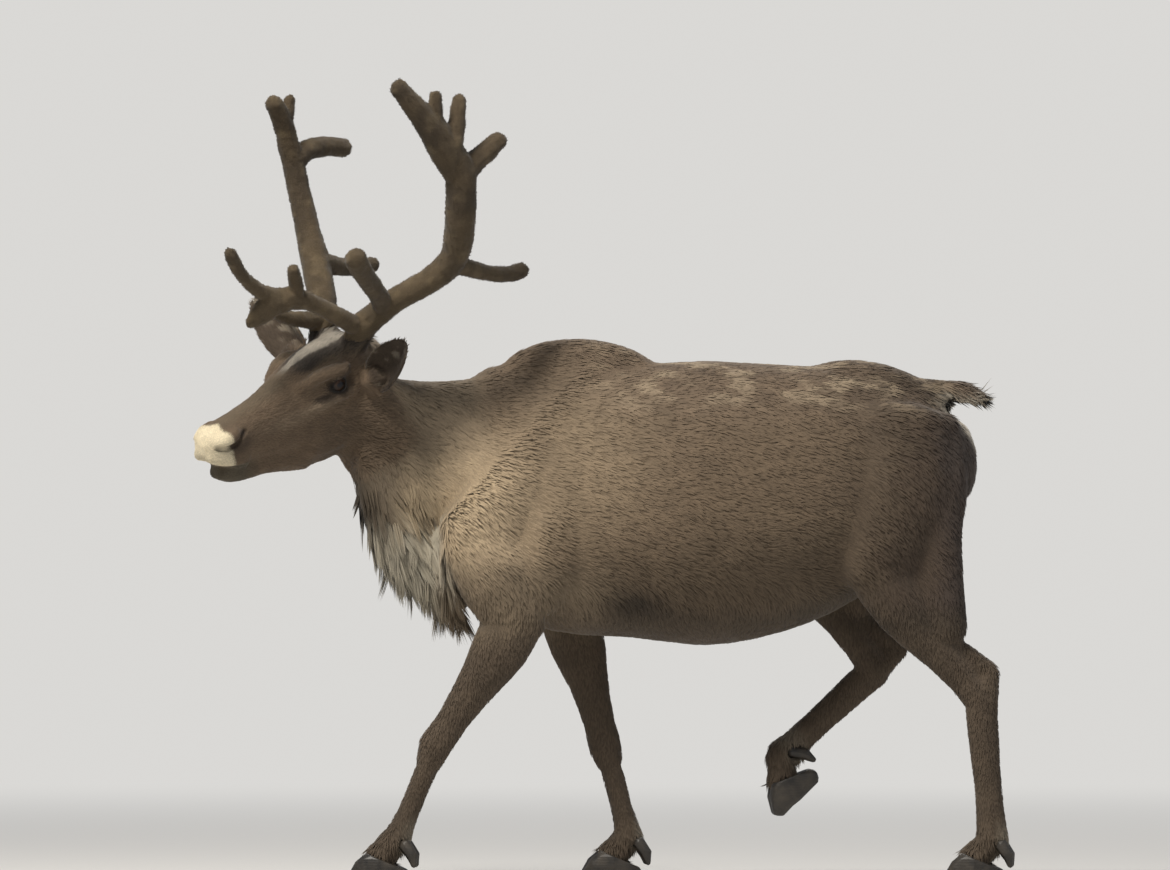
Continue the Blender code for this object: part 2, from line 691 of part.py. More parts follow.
def ear(name, sign):
    # A cupped leaf, open forward and outward; its section is a thick arc.
    rings, arc = 9, 7
    points = []
    for i in range(rings):
        t = i / (rings - 1)
        width = 0.039 * math.sin(math.pi * (0.20 + 0.73 * t)) ** 0.75
        opening = math.radians(165 - 65 * t)
        thick = 0.0062 - 0.0024 * t
        lean = 0.014 * t * t
        outer, inner = [], []
        for j in range(arc):
            angle = -opening / 2 + opening * j / (arc - 1)
            radius = width / math.sin(min(opening / 2, math.pi / 2))
            for store, size in ((outer, radius), (inner, radius - thick)):
                store.append((math.sin(angle) * size, math.cos(angle) * size - radius * 0.55 + lean, EAR_LENGTH * t))
        points.extend(outer + inner[::-1])
    count = 2 * arc
    faces = [tuple(range(count))[::-1], tuple(range((rings - 1) * count, rings * count))]
    for i in range(rings - 1):
        for j in range(count):
            k = (j + 1) % count
            faces.append((i * count + j, i * count + k, (i + 1) * count + k, (i + 1) * count + j))
    mesh = meshFrom(name, points, faces)
    work = bmesh.new()
    work.from_mesh(mesh)
    bmesh.ops.triangulate(work, faces=work.faces)
    work.to_mesh(mesh)
    work.free()
    base, direction, cup = EARS[sign]
    direction = Vector(direction).normalized()
    cup = Vector(cup)
    cup = (cup - direction * cup.dot(direction)).normalized()
    across = cup.cross(direction)
    place = Matrix((across, -cup, direction)).transposed().to_4x4()
    mesh.transform(Matrix.Translation(HEAD @ Vector(base)) @ place)
    faceOutwards(mesh)
    return link(name, mesh)


# For each ear its root in the head's frame, then the way it points and the way its cup opens.
EARS = {
    1: ((0.383, 0.084, 0.001), (0.29, -0.84, 0.43), (-0.62, -0.66, -0.22)),
    -1: ((0.350, -0.082, 0.024), (-0.62, 0.16, 0.77), (-0.30, -0.90, 0.10)),
}


def nearest(tree, point):
    found, normal, _, _ = tree.find_nearest(Vector(point))
    return found, normal


def eyeForms(sign):
    # A mound that the lids are left from, and the almond opening that is cut through it.
    centre = Vector((EYE_CENTRE[0], EYE_CENTRE[1] * sign, EYE_CENTRE[2]))
    outward = Vector((-0.20, sign, 0.10)).normalized()
    forward = Vector((-1, 0, -0.16))
    forward = (forward - outward * forward.dot(outward)).normalized()
    upward = outward.cross(forward) * -sign
    mound = ball("mound", centre - outward * 0.0005, (LID_RADIUS, LID_RADIUS, LID_RADIUS), segments=12)
    rows, faces = [], []
    count, layers = 14, (0.006, 0.012, 0.018, 0.024, 0.032)
    for reach in layers:
        spread = reach / 0.018
        for k in range(count):
            turn = 2 * math.pi * k / count
            wide = 0.0165 * math.cos(turn)
            high = (0.0112 if math.sin(turn) > 0 else 0.0096) * math.sin(turn) * (1 - 0.25 * math.cos(turn) ** 2)
            rows.append(centre + outward * reach + (forward * wide + upward * high) * spread)
    faces.append(tuple(range(count)))
    faces.append(tuple(range((len(layers) - 1) * count, len(layers) * count)))
    for i in range(len(layers) - 1):
        for k in range(count):
            n = (k + 1) % count
            faces.append((i * count + k, i * count + n, (i + 1) * count + n, (i + 1) * count + k))
    opening = link("opening", meshFrom("opening", rows, faces))
    return HEAD @ centre, headPiece(mound), headPiece(opening)


def grooves(tree):
    # The nostrils and the line of the mouth, laid on the skin.
    made = []
    for sign in (1, -1):
        nostril = [(0.010, 0.032, -0.004), (0.034, 0.042, -0.010), (0.056, 0.043, -0.007), (0.071, 0.040, 0.007)]
        path = []
        for p in nostril:
            found, normal = nearest(tree, HEAD @ Vector((p[0], p[1] * sign, p[2])))
            path.append(tuple(found - normal * 0.0015))
        made.append(branch("nostril", path, [0.0042, 0.0062, 0.0056, 0.0030], ring=8))
    mouth = []
    for w in (-1, -0.75, -0.45, -0.15, 0.15, 0.45, 0.75, 1):
        reach = abs(w)
        p = Vector((-0.014 + 0.078 * reach**1.5, 0.040 * w, -0.040 - 0.026 * reach**1.2))
        found, normal = nearest(tree, HEAD @ p)
        mouth.append(tuple(found - normal * 0.0006))
    made.append(branch("mouth", mouth, [0.0022] + [0.0027] * 6 + [0.0022], ring=8, sideAxis=(0, 0, 1)))
    return made


def lockRows(skin, root, way, length, width, sway):
    # Rows of a flat tapered lock that lies along the skin, its root sunk in and its tip lifted off.
    point, normal = nearest(skin, root)
    rows = []
    done = 0.0
    for share, rise, wide in ((0.0, -0.45, 0.65), (0.30, 0.35, 1.0), (0.68, 0.80, 0.78), (1.0, 1.0, 0.10)):
        way = (way - normal * way.dot(normal)).normalized()
        side = normal.cross(way)
        turned = (way + side * sway * share).normalized()
        point, normal = nearest(skin, point + turned * length * (share - done))
        done = share
        middle = point + normal * LOCK_RISE * rise
        thick = LOCK_THICKNESS * (0.25 + 0.75 * wide)
        tilt = (side + normal * 0.25 * sway).normalized()
        rows.append(middle + tilt * width * wide / 2)
        rows.append(middle + normal * thick)
        rows.append(middle - tilt * width * wide / 2)
        way = (way * 0.8 + Vector((0.16, 0, -0.26))).normalized()
    return rows


def lock(rows):
    spans = len(rows) // 3 - 1
    faces = [(0, 1, 2), (spans * 3, spans * 3 + 1, spans * 3 + 2)]
    for i in range(spans):
        for j in range(3):
            k = (j + 1) % 3
            faces.append((i * 3 + j, i * 3 + k, i * 3 + 3 + k))
            faces.append((i * 3 + j, i * 3 + 3 + k, i * 3 + 3 + j))
    mesh = meshFrom("lock", rows, faces)
    faceOutwards(mesh)
    return link("lock", mesh)


def mane(skin):
    # Rows of locks from the throat down to the brisket, each row over the roots of the next.
    rng = random.Random(SEED)
    line = [Vector(p) for p in spline(MANE_LINE, 12)]
    made = []
    for i in range(LOCK_ROWS):
        place = int((i + 0.25) / LOCK_ROWS * (len(line) - 4))
        at = line[place]
        down = (line[place + 3] - at).normalized()
        outward = down.cross(Vector((0, 1, 0))).normalized()
        if outward.x > 0:
            outward = -outward
        level = outward.cross(down).normalized()
        for j in range(LOCKS_ACROSS):
            spread = (j + 0.5 * (i % 2) - LOCKS_ACROSS / 2 + 0.25) / LOCKS_ACROSS
            turn = spread * math.radians(160 if i < 2 else 205) + rng.uniform(-0.06, 0.06)
            aim = at + (outward * math.cos(turn) + level * math.sin(turn)) * 0.30
            root = skin.ray_cast(aim, (at - aim).normalized())[0]
            length = LOCK_LENGTH * rng.uniform(0.85, 1.15) * (1.0 - 0.26 * i / (LOCK_ROWS - 1))
            width = LOCK_WIDTH * rng.uniform(0.85, 1.15)
            sway = rng.uniform(-0.35, 0.35)
            while length > 0.05:
                rows = lockRows(skin, root, (down + Vector((0.25, 0, -0.35))).normalized(), length, width, sway)
                if max((row - NECK_BACK).dot(NECK_BACK_NORMAL) for row in rows) < -0.003:
                    made.append(lock(rows))
                    break
                length *= 0.85
    return made


def slab(point, normal, radius, sides=24):
    # A thin disc that parts whatever it crosses.
    work = bmesh.new()
    bmesh.ops.create_cone(
        work, cap_ends=True, cap_tris=False, segments=sides, radius1=radius, radius2=radius, depth=GAP,
    )
    mesh = bpy.data.meshes.new("slab")
    work.to_mesh(mesh)
    work.free()
    turn = Vector(normal).normalized().to_track_quat("Z", "Y").to_matrix().to_4x4()
    mesh.transform(Matrix.Translation(Vector(point)) @ turn)
    return link("slab", mesh)


def headSlab(point, normal, radius):
    return slab(HEAD @ Vector(point), HEAD.to_3x3() @ Vector(normal), radius)


def legSlabs(joints, sign, side, upper):
    (mx, mz), (lx, lz), (fx, fz) = joints[1:]
    x, z, tilt, radius = upper
    cannon = Vector((fx - lx, 0, fz - lz)).normalized()
    cut = Vector((lx, sign * side, lz)) + cannon * 0.078
    return [slab((x, sign * 0.112, z), (tilt, 0, 1), radius), slab(cut, cannon, 0.055)]


def partings():
    made = [
        slab((-0.546, -0.081, 0.912), (0.82, 0.48, -0.30), 0.165),
        slab(NECK_BACK, NECK_BACK_NORMAL, 0.330, 36),
        slab((0.606, 0, 0.942), (1, 0, -0.25), 0.034),
        headSlab((0.385, 0.050, 0.087), (0, 0.2, 1), 0.033),
        headSlab((0.388, -0.047, 0.086), (0, -0.2, 1), 0.033),
        headSlab((0.351, 0.056, 0.135), (-0.70, 0.0, 0.70), 0.024),
        headSlab((0.384, 0.124, 0.188), (-0.58, 0.33, 0.72), 0.025),
        headSlab((0.540, 0.212, 0.202), (0.85, 0.07, -0.52), 0.022),
        headSlab((0.519, 0.245, 0.368), (0.10, 0.05, 1.0), 0.040),
        headSlab((0.343, -0.046, 0.117), (-0.90, 0, 0.42), 0.024),
        headSlab((0.534, -0.142, 0.134), (0.84, -0.2, -0.48), 0.024),
        headSlab((0.533, -0.227, 0.298), (0.14, -0.30, 0.92), 0.032),
    ]
    for base, direction, _ in EARS.values():
        way = Vector(direction).normalized()
        made.append(slab(HEAD @ Vector(base) + way * 0.033, way, 0.042))
    made += legSlabs(FORE_LEFT, -1, 0.096, (-0.262, 0.455, 0.40, 0.105))
    made += legSlabs(FORE_RIGHT, 1, 0.096, (-0.118, 0.440, -0.20, 0.100))
    made += legSlabs(HIND_LEFT, -1, 0.099, (0.522, 0.525, -0.10, 0.120))
    made += legSlabs(HIND_RIGHT, 1, 0.099, (0.405, 0.480, 0.15, 0.108))
    for frame in FEET.values():
        made.append(slab(frame @ CORONET_POINT, frame.to_3x3() @ CORONET_NORMAL, 0.070))
    return made


def looseParts(obj):
    # Splits one mesh into its separate closed bodies, as (volume, mesh).
    work = bmesh.new()
    work.from_mesh(obj.data)
    work.verts.ensure_lookup_table()
    label = [-1] * len(work.verts)
    groups = 0
    for seed in work.verts:
        if label[seed.index] >= 0:
            continue
        label[seed.index] = groups
        stack = [seed]
        while stack:
            vertex = stack.pop()
            for edge in vertex.link_edges:
                other = edge.other_vert(vertex)
                if label[other.index] < 0:
                    label[other.index] = groups
                    stack.append(other)
        groups += 1
    found = []
    for number in range(groups):
        part = work.copy()
        part.verts.ensure_lookup_table()
        away = [v for v in part.verts if label[v.index] != number]
        bmesh.ops.delete(part, geom=away, context="VERTS")
        volume = part.calc_volume(signed=True)
        mesh = bpy.data.meshes.new("loose")
        part.to_mesh(mesh)
        part.free()
        found.append((volume, mesh))
    work.free()
    bpy.data.objects.remove(obj, do_unlink=True)
    return sorted(found, key=lambda pair: -pair[0])


def tree(mesh):
    work = bmesh.new()
    work.from_mesh(mesh)
    made = BVHTree.FromBMesh(work)
    work.free()
    return made


def markers():
    def up(a, w, u):
        return HEAD @ Vector((a, w, u))

    def mid(joints, i, share, side, sign):
        (ax, az), (bx, bz) = joints[i], joints[i + 1]
        return Vector((along(ax, bx, share), side * sign, along(az, bz, share)))

    places = {
        "torso": Vector((0.15, -0.21, 0.75)),
        "neck": Vector((-0.43, -0.12, 0.83)),
        "head": up(0.20, 0.045, -0.03),
        "tail": Vector((0.62, 0, 0.95)),
        "antler_left_beam": up(0.459, 0.160, 0.184),
        "antler_left_palm": up(0.500, 0.236, 0.470),
        "antler_left_brow": up(0.230, 0.034, 0.219),
        "antler_left_bez": up(0.330, 0.152, 0.252),
        "antler_left_rear": up(0.600, 0.216, 0.166),
        "antler_right_beam": up(0.487, -0.160, 0.194),
        "antler_right_top": up(0.538, -0.245, 0.385),
        "antler_right_brow": up(0.300, -0.046, 0.138),
        "antler_right_rear": up(0.588, -0.150, 0.111),
    }
    for sign, name in ((1, "ear_left"), (-1, "ear_right")):
        base, direction, _ = EARS[sign]
        places[name] = HEAD @ Vector(base) + Vector(direction).normalized() * 0.08
    for name, joints, sign in (
        ("foreleg_left", FORE_LEFT, -1), ("foreleg_right", FORE_RIGHT, 1),
        ("hindleg_left", HIND_LEFT, -1), ("hindleg_right", HIND_RIGHT, 1),
    ):
        places[name + "_upper"] = mid(joints, 1, 0.75, 0.10, sign)
        places[name + "_lower"] = mid(joints, 2, 0.62, FOOT_SIDE, sign)
    return places


def named(body):
    # Each node takes the largest loose body that lies at its marker; the scraps go.
    found = looseParts(body)
    trees = [tree(mesh) for _, mesh in found]
    nodes = []
    taken = set()
    for name, place in markers().items():
        choices = []
        for number, (volume, mesh) in enumerate(found):
            if number in taken or volume < 2e-6:
                continue
            choices.append((trees[number].find_nearest(place)[3], number))
        distance, number = min(choices)
        taken.add(number)
        mesh = found[number][1]
        mesh.name = name
        nodes.append(link(name, mesh))
    return nodes


def tagPiece(name, earMesh, grow=0.0):
    # A small round metal button through the rear edge of the left ear.
    base, direction, cup = EARS[1]
    way = Vector(direction).normalized()
    back = -(Vector(cup) - way * Vector(cup).dot(way)).normalized()
    edge = way.cross(back)
    aim = HEAD @ Vector(base) + way * 0.075 + back * 0.030 + edge * 0.004
    found, normal = nearest(earMesh, aim)
    work = bmesh.new()
    bmesh.ops.create_cone(
        work, cap_ends=True, cap_tris=False, segments=14,
        radius1=0.0075 + grow, radius2=0.0065 + grow, depth=0.0036 + 2 * grow,
    )
    bmesh.ops.triangulate(work, faces=work.faces)
    mesh = bpy.data.meshes.new(name)
    work.to_mesh(mesh)
    work.free()
    turn = normal.to_track_quat("Z", "Y").to_matrix().to_4x4()
    mesh.transform(Matrix.Translation(found + normal * 0.0006) @ turn)
    return link(name, mesh)


def softenedFlesh():
    forms = headForms() + torsoForms() + neckForms() + [tailForm()]
    forms += foreLeg("fl", -1, FORE_LEFT) + foreLeg("fr", 1, FORE_RIGHT)
    forms += hindLeg("hl", -1, HIND_LEFT) + hindLeg("hr", 1, HIND_RIGHT)
    for tag, frame in FEET.items():
        forms.append(pastern(tag, frame))
    whole = fused("flesh", forms, FLESH_VOXEL)
    toHead = np.array(HEAD.inverted())

    def headShare(places):
        local = places @ toHead[:3, :3].T + toHead[:3, 3]
        return np.clip((0.40 - local[:, 0]) / 0.08, 0, 1) * (places[:, 2] > 0.6)

    def lowShare(places):
        return np.clip((0.50 - places[:, 2]) / 0.15, 0, 1)

    places = vertexPlaces(whole)
    whole = softened(whole, 12, 1 - 0.6 * headShare(places) - 0.4 * lowShare(places))
    places = vertexPlaces(whole)
    head = headShare(places)
    tail = (places[:, 0] > 0.56) * (places[:, 2] > 0.905)
    return thinned(whole, BODY_TRIANGLES, 1 - 0.02 * head - 0.04 * tail)


FEET = {
    "foreleg_left": footFrame(-1, FORE_LEFT),
    "foreleg_right": footFrame(1, FORE_RIGHT),
    "hindleg_left": footFrame(-1, HIND_LEFT),
    "hindleg_right": footFrame(1, HIND_RIGHT, 44.0),
}

# Slot, colour, metalness and roughness.
FINISHES = {
    "coat": ((0.23, 0.18, 0.14), 0.0, 0.9),
    "leg_coat": ((0.07, 0.055, 0.05), 0.0, 0.9),
    "velvet": ((0.14, 0.10, 0.08), 0.0, 0.95),
    "hoof_horn": ((0.035, 0.030, 0.028), 0.0, 0.55),
    "eye_gloss": ((0.015, 0.010, 0.008), 0.0, 0.1),
    "tag_metal": ((0.72, 0.72, 0.70), 1.0, 0.3),
}


def slotOf(name):
    if name.startswith("antler"):
        return "velvet"
    if "hoof" in name or "dewclaw" in name:
        return "hoof_horn"
    if name.startswith("eye"):
        return "eye_gloss"
    if name == "ear_tag":
        return "tag_metal"
    if "leg" in name:
        return "leg_coat"
    return "coat"


def finish(nodes):
    made = {}
    for slot, (colour, metal, rough) in FINISHES.items():
        material = bpy.data.materials.new(slot)
        material.use_nodes = True
        shader = material.node_tree.nodes["Principled BSDF"]
        shader.inputs["Base Color"].default_value = (*colour, 1)
        shader.inputs["Metallic"].default_value = metal
        shader.inputs["Roughness"].default_value = rough
        made[slot] = material
    for node in nodes:
        node.data.materials.clear()
        node.data.materials.append(made[slotOf(node.name)])
        for face in node.data.polygons:
            face.use_smooth = True
        for group in list(node.vertex_groups):
            node.vertex_groups.remove(group)


def centreOnFloor(nodes):
    # Moves the whole so that its box stands centred on the origin.
    places = np.vstack([vertexPlaces(node) for node in nodes])
    low, high = places.min(axis=0), places.max(axis=0)
    shift = Vector((-(low[0] + high[0]) / 2, -(low[1] + high[1]) / 2, -low[2]))
    for node in nodes:
        node.data.transform(Matrix.Translation(shift))


def main():
    clearScene()
    body = softenedFlesh()
    skin = tree(body.data)
    cuts = grooves(skin)
    additions = [
        antler("antler_left", antlerLeft(), ANTLER_TRIANGLES[0]),
        antler("antler_right", antlerRight(), ANTLER_TRIANGLES[1]),
    ]
    additions += mane(skin)
    additions += [ear("ear_left", 1), ear("ear_right", -1)]
    eyes, openings = {}, []
    for sign, name in ((1, "eye_left"), (-1, "eye_right")):
        eyes[name], mound, opening = eyeForms(sign)
        additions.append(mound)
        openings.append(opening)
    body = combined(body, additions, "UNION")
    for name, centre in eyes.items():
        cuts.append(ball("socket", centre, (EYE_RADIUS + GAP,) * 3, segments=12))
    others = []
    for tag, frame in FEET.items():
        for side, word in ((1, "outer" if "left" in tag else "inner"), (-1, "inner" if "left" in tag else "outer")):
            others.append(hoof(f"hoof_{tag}_{word}", frame, side))
            others.append(dewclaw(f"dewclaw_{tag}_{word}", frame, side))
            cuts.append(dewclaw("socket", frame, side, GAP))
    body = combined(body, cuts, "DIFFERENCE")
    body = combined(body, openings, "DIFFERENCE")
    body = combined(body, partings(), "DIFFERENCE")
    nodes = named(body)
    for name, centre in eyes.items():
        others.append(ball(name, centre, (EYE_RADIUS,) * 3, segments=12))
    leftEar = next(node for node in nodes if node.name == "ear_left")
    earTree = tree(leftEar.data)
    others.append(tagPiece("ear_tag", earTree))
    nodes.remove(leftEar)
    leftEar = combined(leftEar, [tagPiece("bed", earTree, GAP)], "DIFFERENCE")
    leftEar.name = "ear_left"
    nodes.append(leftEar)
    nodes += others
    finish(nodes)
    centreOnFloor(nodes)


main()
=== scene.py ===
import math

import bmesh
import bpy
import numpy as np
from mathutils import Matrix, Vector
from mathutils.bvhtree import BVHTree


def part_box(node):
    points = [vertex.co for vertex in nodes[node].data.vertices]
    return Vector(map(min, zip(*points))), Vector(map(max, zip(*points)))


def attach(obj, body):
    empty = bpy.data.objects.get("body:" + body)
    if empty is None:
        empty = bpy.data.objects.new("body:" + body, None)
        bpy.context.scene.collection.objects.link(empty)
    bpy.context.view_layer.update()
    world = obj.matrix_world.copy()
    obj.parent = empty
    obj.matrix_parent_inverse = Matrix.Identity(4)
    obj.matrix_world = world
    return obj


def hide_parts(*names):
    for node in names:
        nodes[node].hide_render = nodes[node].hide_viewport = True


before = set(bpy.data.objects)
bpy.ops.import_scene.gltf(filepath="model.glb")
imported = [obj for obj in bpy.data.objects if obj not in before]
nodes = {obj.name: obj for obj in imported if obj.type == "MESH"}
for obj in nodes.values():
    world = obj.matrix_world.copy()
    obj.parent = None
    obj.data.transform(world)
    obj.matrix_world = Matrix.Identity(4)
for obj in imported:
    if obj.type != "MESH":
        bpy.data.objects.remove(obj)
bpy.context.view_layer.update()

# places: the build's own frame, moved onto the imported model
metresPerPixel = 0.0019
photoFrame = {"wide": 1170, "high": 870, "originColumn": 639, "floorRow": 885}
headPose = {"nose": (-0.8256, -0.335, 0.835), "yaw": 42, "pitch": 21, "roll": 12}
eyeShape = {"place": (0.302, 0.0615, 0.024), "radius": 0.0185}
earPose = {
    1: ((0.383, 0.084, 0.001), (0.29, -0.84, 0.43), (-0.62, -0.66, -0.22)),
    -1: ((0.350, -0.082, 0.024), (-0.62, 0.16, 0.77), (-0.30, -0.90, 0.10)),
}
maneLine = (
    (-0.530, -0.106, 0.822), (-0.508, -0.092, 0.752), (-0.476, -0.068, 0.686),
    (-0.434, -0.044, 0.630), (-0.378, -0.024, 0.606),
)


def headMatrix():
    yaw, pitch, roll = (math.radians(headPose[k]) for k in ("yaw", "pitch", "roll"))
    level = math.cos(pitch)
    back = Vector((level * math.cos(yaw), level * math.sin(yaw), math.sin(pitch)))
    side = Vector((math.sin(yaw), -math.cos(yaw), 0))
    up = side.cross(back)
    left = side * math.cos(roll) - up * math.sin(roll)
    top = up * math.cos(roll) + side * math.sin(roll)
    return Matrix.Translation(headPose["nose"]) @ Matrix((back, left, top)).transposed().to_4x4()


def boxMiddle(name):
    low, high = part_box(name)
    return (Vector(low) + Vector(high)) / 2


buildHead = headMatrix()
# from the build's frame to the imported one
shift = boxMiddle("eye_left") - buildHead @ Vector(eyeShape["place"])
head = Matrix.Translation(shift) @ buildHead
headAxes = np.array(head.to_3x3())
shiftRow = np.array(shift)
print("frame: shift", [round(v, 4) for v in shift])


def headPoint(back, left, up):
    return head @ Vector((back, left, up))


# small helpers
def sRgb(r, g, b):
    tone = np.array([r, g, b]) / 255
    return np.where(tone <= 0.04045, tone / 12.92, ((tone + 0.055) / 1.055) ** 2.4)


def smoothStep(low, high, x):
    t = np.clip((x - low) / (high - low), 0, 1)
    return t * t * (3 - 2 * t)


def blob(places, centre, radii, soft=0.35):
    reach = np.linalg.norm((places - np.array(centre)) / np.array(radii), axis=1)
    return 1 - smoothStep(1 - soft, 1 + soft, reach)


def unit(rows):
    return rows / np.maximum(np.linalg.norm(rows, axis=1), 1e-9)[:, None]


def mixed(base, colour, share):
    return base + (np.asarray(colour) - base) * share[:, None]


def nearLine(places, line):
    # distance of each point from a line of straight pieces
    line = np.array(line)
    best = np.full(len(places), 9.0)
    for a, b in zip(line[:-1], line[1:]):
        t = np.clip(((places - a) @ (b - a)) / ((b - a) @ (b - a)), 0, 1)
        best = np.minimum(best, np.linalg.norm(places - a - np.outer(t, b - a), axis=1))
    return best


def latticeNoise(places, scale, seed):
    # smooth value noise between 0 and 1
    spot = places / scale
    cell = np.floor(spot).astype(np.int64)
    part = spot - cell
    part = part * part * (3 - 2 * part)
    total = np.zeros(len(places))
    for corner in range(8):
        step = np.array([corner & 1, corner >> 1 & 1, corner >> 2 & 1])
        key = (cell + step) @ np.array([73856093, 19349663, 83492791]) + seed * 2654435761
        key = (key ^ (key >> 13)) * 1274126177 & 0xFFFFFFFF
        value = ((key ^ (key >> 16)) & 0xFFFF) / 65535.0
        weight = np.prod(np.where(step == 1, part, 1 - part), axis=1)
        total += value * weight
    return total


def link(name, mesh):
    made = bpy.data.objects.new(name, mesh)
    bpy.context.scene.collection.objects.link(made)
    return made


def meshFromArrays(name, points, triangles):
    mesh = bpy.data.meshes.new(name)
    mesh.vertices.add(len(points))
    mesh.vertices.foreach_set("co", np.ascontiguousarray(points, dtype=np.float32).ravel())
    mesh.loops.add(len(triangles) * 3)
    mesh.loops.foreach_set("vertex_index", np.ascontiguousarray(triangles, dtype=np.int32).ravel())
    mesh.polygons.add(len(triangles))
    mesh.polygons.foreach_set("loop_start", np.arange(0, len(triangles) * 3, 3, dtype=np.int32))
    mesh.polygons.foreach_set("use_smooth", np.ones(len(triangles), dtype=bool))
    mesh.update(calc_edges=True)
    return mesh


def vertexRows(mesh, field):
    flat = np.empty(len(mesh.vertices) * 3, dtype=np.float32)
    mesh.vertices.foreach_get(field, flat)
    return flat.reshape(-1, 3).astype(float)


def vertexPlaces(mesh):
    return vertexRows(mesh, "co")


def vertexNormals(mesh):
    return vertexRows(mesh, "normal")


def moveVertices(mesh, places):
    mesh.vertices.foreach_set("co", places.astype(np.float32).ravel())
    mesh.update()


def faceCorners(mesh):
    corners = np.empty(len(mesh.loops), dtype=np.int32)
    mesh.loops.foreach_get("vertex_index", corners)
    return corners.reshape(-1, 3)


def searchTree(places, faces):
    return BVHTree.FromPolygons([tuple(v) for v in places], faces)


def storeColour(mesh, name, rows):
    layer = mesh.attributes.new(name, "FLOAT_COLOR", "POINT")
    solid = np.column_stack([rows, np.ones(len(rows))])
    layer.data.foreach_set("color", solid.astype(np.float32).ravel())


def storeVector(mesh, name, rows):
    layer = mesh.attributes.new(name, "FLOAT_VECTOR", "POINT")
    layer.data.foreach_set("vector", np.ascontiguousarray(rows, dtype=np.float32).ravel())


def nodeCopy(name, nodeNames):
    # one mesh from copies of CAD nodes, their loose triangles merged
    work = bmesh.new()
    for nodeName in nodeNames:
        work.from_mesh(nodes[nodeName].data)
    bmesh.ops.remove_doubles(work, verts=work.verts, dist=0.00001)
    mesh = bpy.data.meshes.new(name)
    work.to_mesh(mesh)
    work.free()
    return link(name, mesh)


def applied(obj):
    # the evaluated mesh takes the object's place
    bpy.context.view_layer.update()
    graph = bpy.context.evaluated_depsgraph_get()
    mesh = bpy.data.meshes.new_from_object(obj.evaluated_get(graph))
    name = obj.name
    bpy.data.objects.remove(obj, do_unlink=True)
    return link(name, mesh)


def weightGroup(obj, name, weights):
    group = obj.vertex_groups.new(name=name)
    rounded = np.round(np.clip(weights, 0, 1) * 40) / 40
    for level in np.unique(rounded):
        if level > 0:
            group.add(np.flatnonzero(rounded == level).tolist(), float(level), "REPLACE")
    return group.name


def remeshed(obj, voxel):
    skinner = obj.modifiers.new("remesh", "REMESH")
    skinner.mode = "VOXEL"
    skinner.voxel_size = voxel
    return applied(obj)


def smoothed(obj, rounds, weights=None):
    soften = obj.modifiers.new("smooth", "SMOOTH")
    soften.factor = 0.5
    soften.iterations = rounds
    if weights is not None:
        soften.vertex_group = weightGroup(obj, "soft", weights)
    return applied(obj)


def thinned(obj, triangles, weights=None):
    count = sum(len(p.vertices) - 2 for p in obj.data.polygons)
    thin = obj.modifiers.new("thin", "DECIMATE")
    thin.ratio = min(1.0, triangles / count)
    thin.use_collapse_triangulate = True
    if weights is not None:
        thin.vertex_group = weightGroup(obj, "thin", weights)
        thin.vertex_group_factor = 1.0
    return applied(obj)


def smoothFaces(obj):
    faces = obj.data.polygons
    faces.foreach_set("use_smooth", np.ones(len(faces), dtype=bool))
    obj.data.update()


def finishPiece(obj, material, slot, *stoodFor):
    obj.data.materials.clear()
    obj.data.materials.append(material)
    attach(obj, "root")
    if stoodFor:
        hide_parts(*stoodFor)
    return obj


# regions of the body, from points in the build's own frame
def regions(places):
    q = places - shiftRow
    local = (places - np.array(head.translation)) @ headAxes
    near = {}
    back = local[:, 0]
    span = np.linalg.norm(local[:, 1:], axis=1)
    x, z = q[:, 0], q[:, 2]
    near["head"] = (1 - smoothStep(0.375, 0.435, back)) * (1 - smoothStep(0.16, 0.20, span)) * (z > 0.55)
    for sign in (1, -1):
        base, way, cup = earPose[sign]
        root = np.array(headPoint(*base))
        way = np.array(Vector(way).normalized())
        cup = Vector(cup) - Vector(way) * Vector(cup).dot(Vector(way))
        along = (places - root) @ way
        across = np.linalg.norm(places - root - np.outer(along, way), axis=1)
        mask = smoothStep(0.008, 0.034, along) * (1 - smoothStep(0.055, 0.075, across))
        near["ear", sign] = mask * (along < 0.20)
        near["cup", sign] = np.array(cup.normalized())
    fromMane = nearLine(q, maneLine)
    below = smoothStep(-0.02, 0.05, (0.40 - 0.75 * (x + 0.55)) + 0.49 - z)
    near["mane"] = (1 - smoothStep(0.085, 0.125, fromMane)) * below * (1 - smoothStep(-0.37, -0.33, x))
    near["tail"] = smoothStep(0.568, 0.590, x) * smoothStep(0.895, 0.912, z)
    near["leg"] = 1 - smoothStep(0.44, 0.60, z)
    near["neck"] = (1 - smoothStep(-0.36, -0.26, x)) * (1 - near["head"])
    near["belly"] = smoothStep(0.60, 0.50, z) * smoothStep(-0.30, -0.20, x) * smoothStep(0.42, 0.34, x)
    return q, local, near


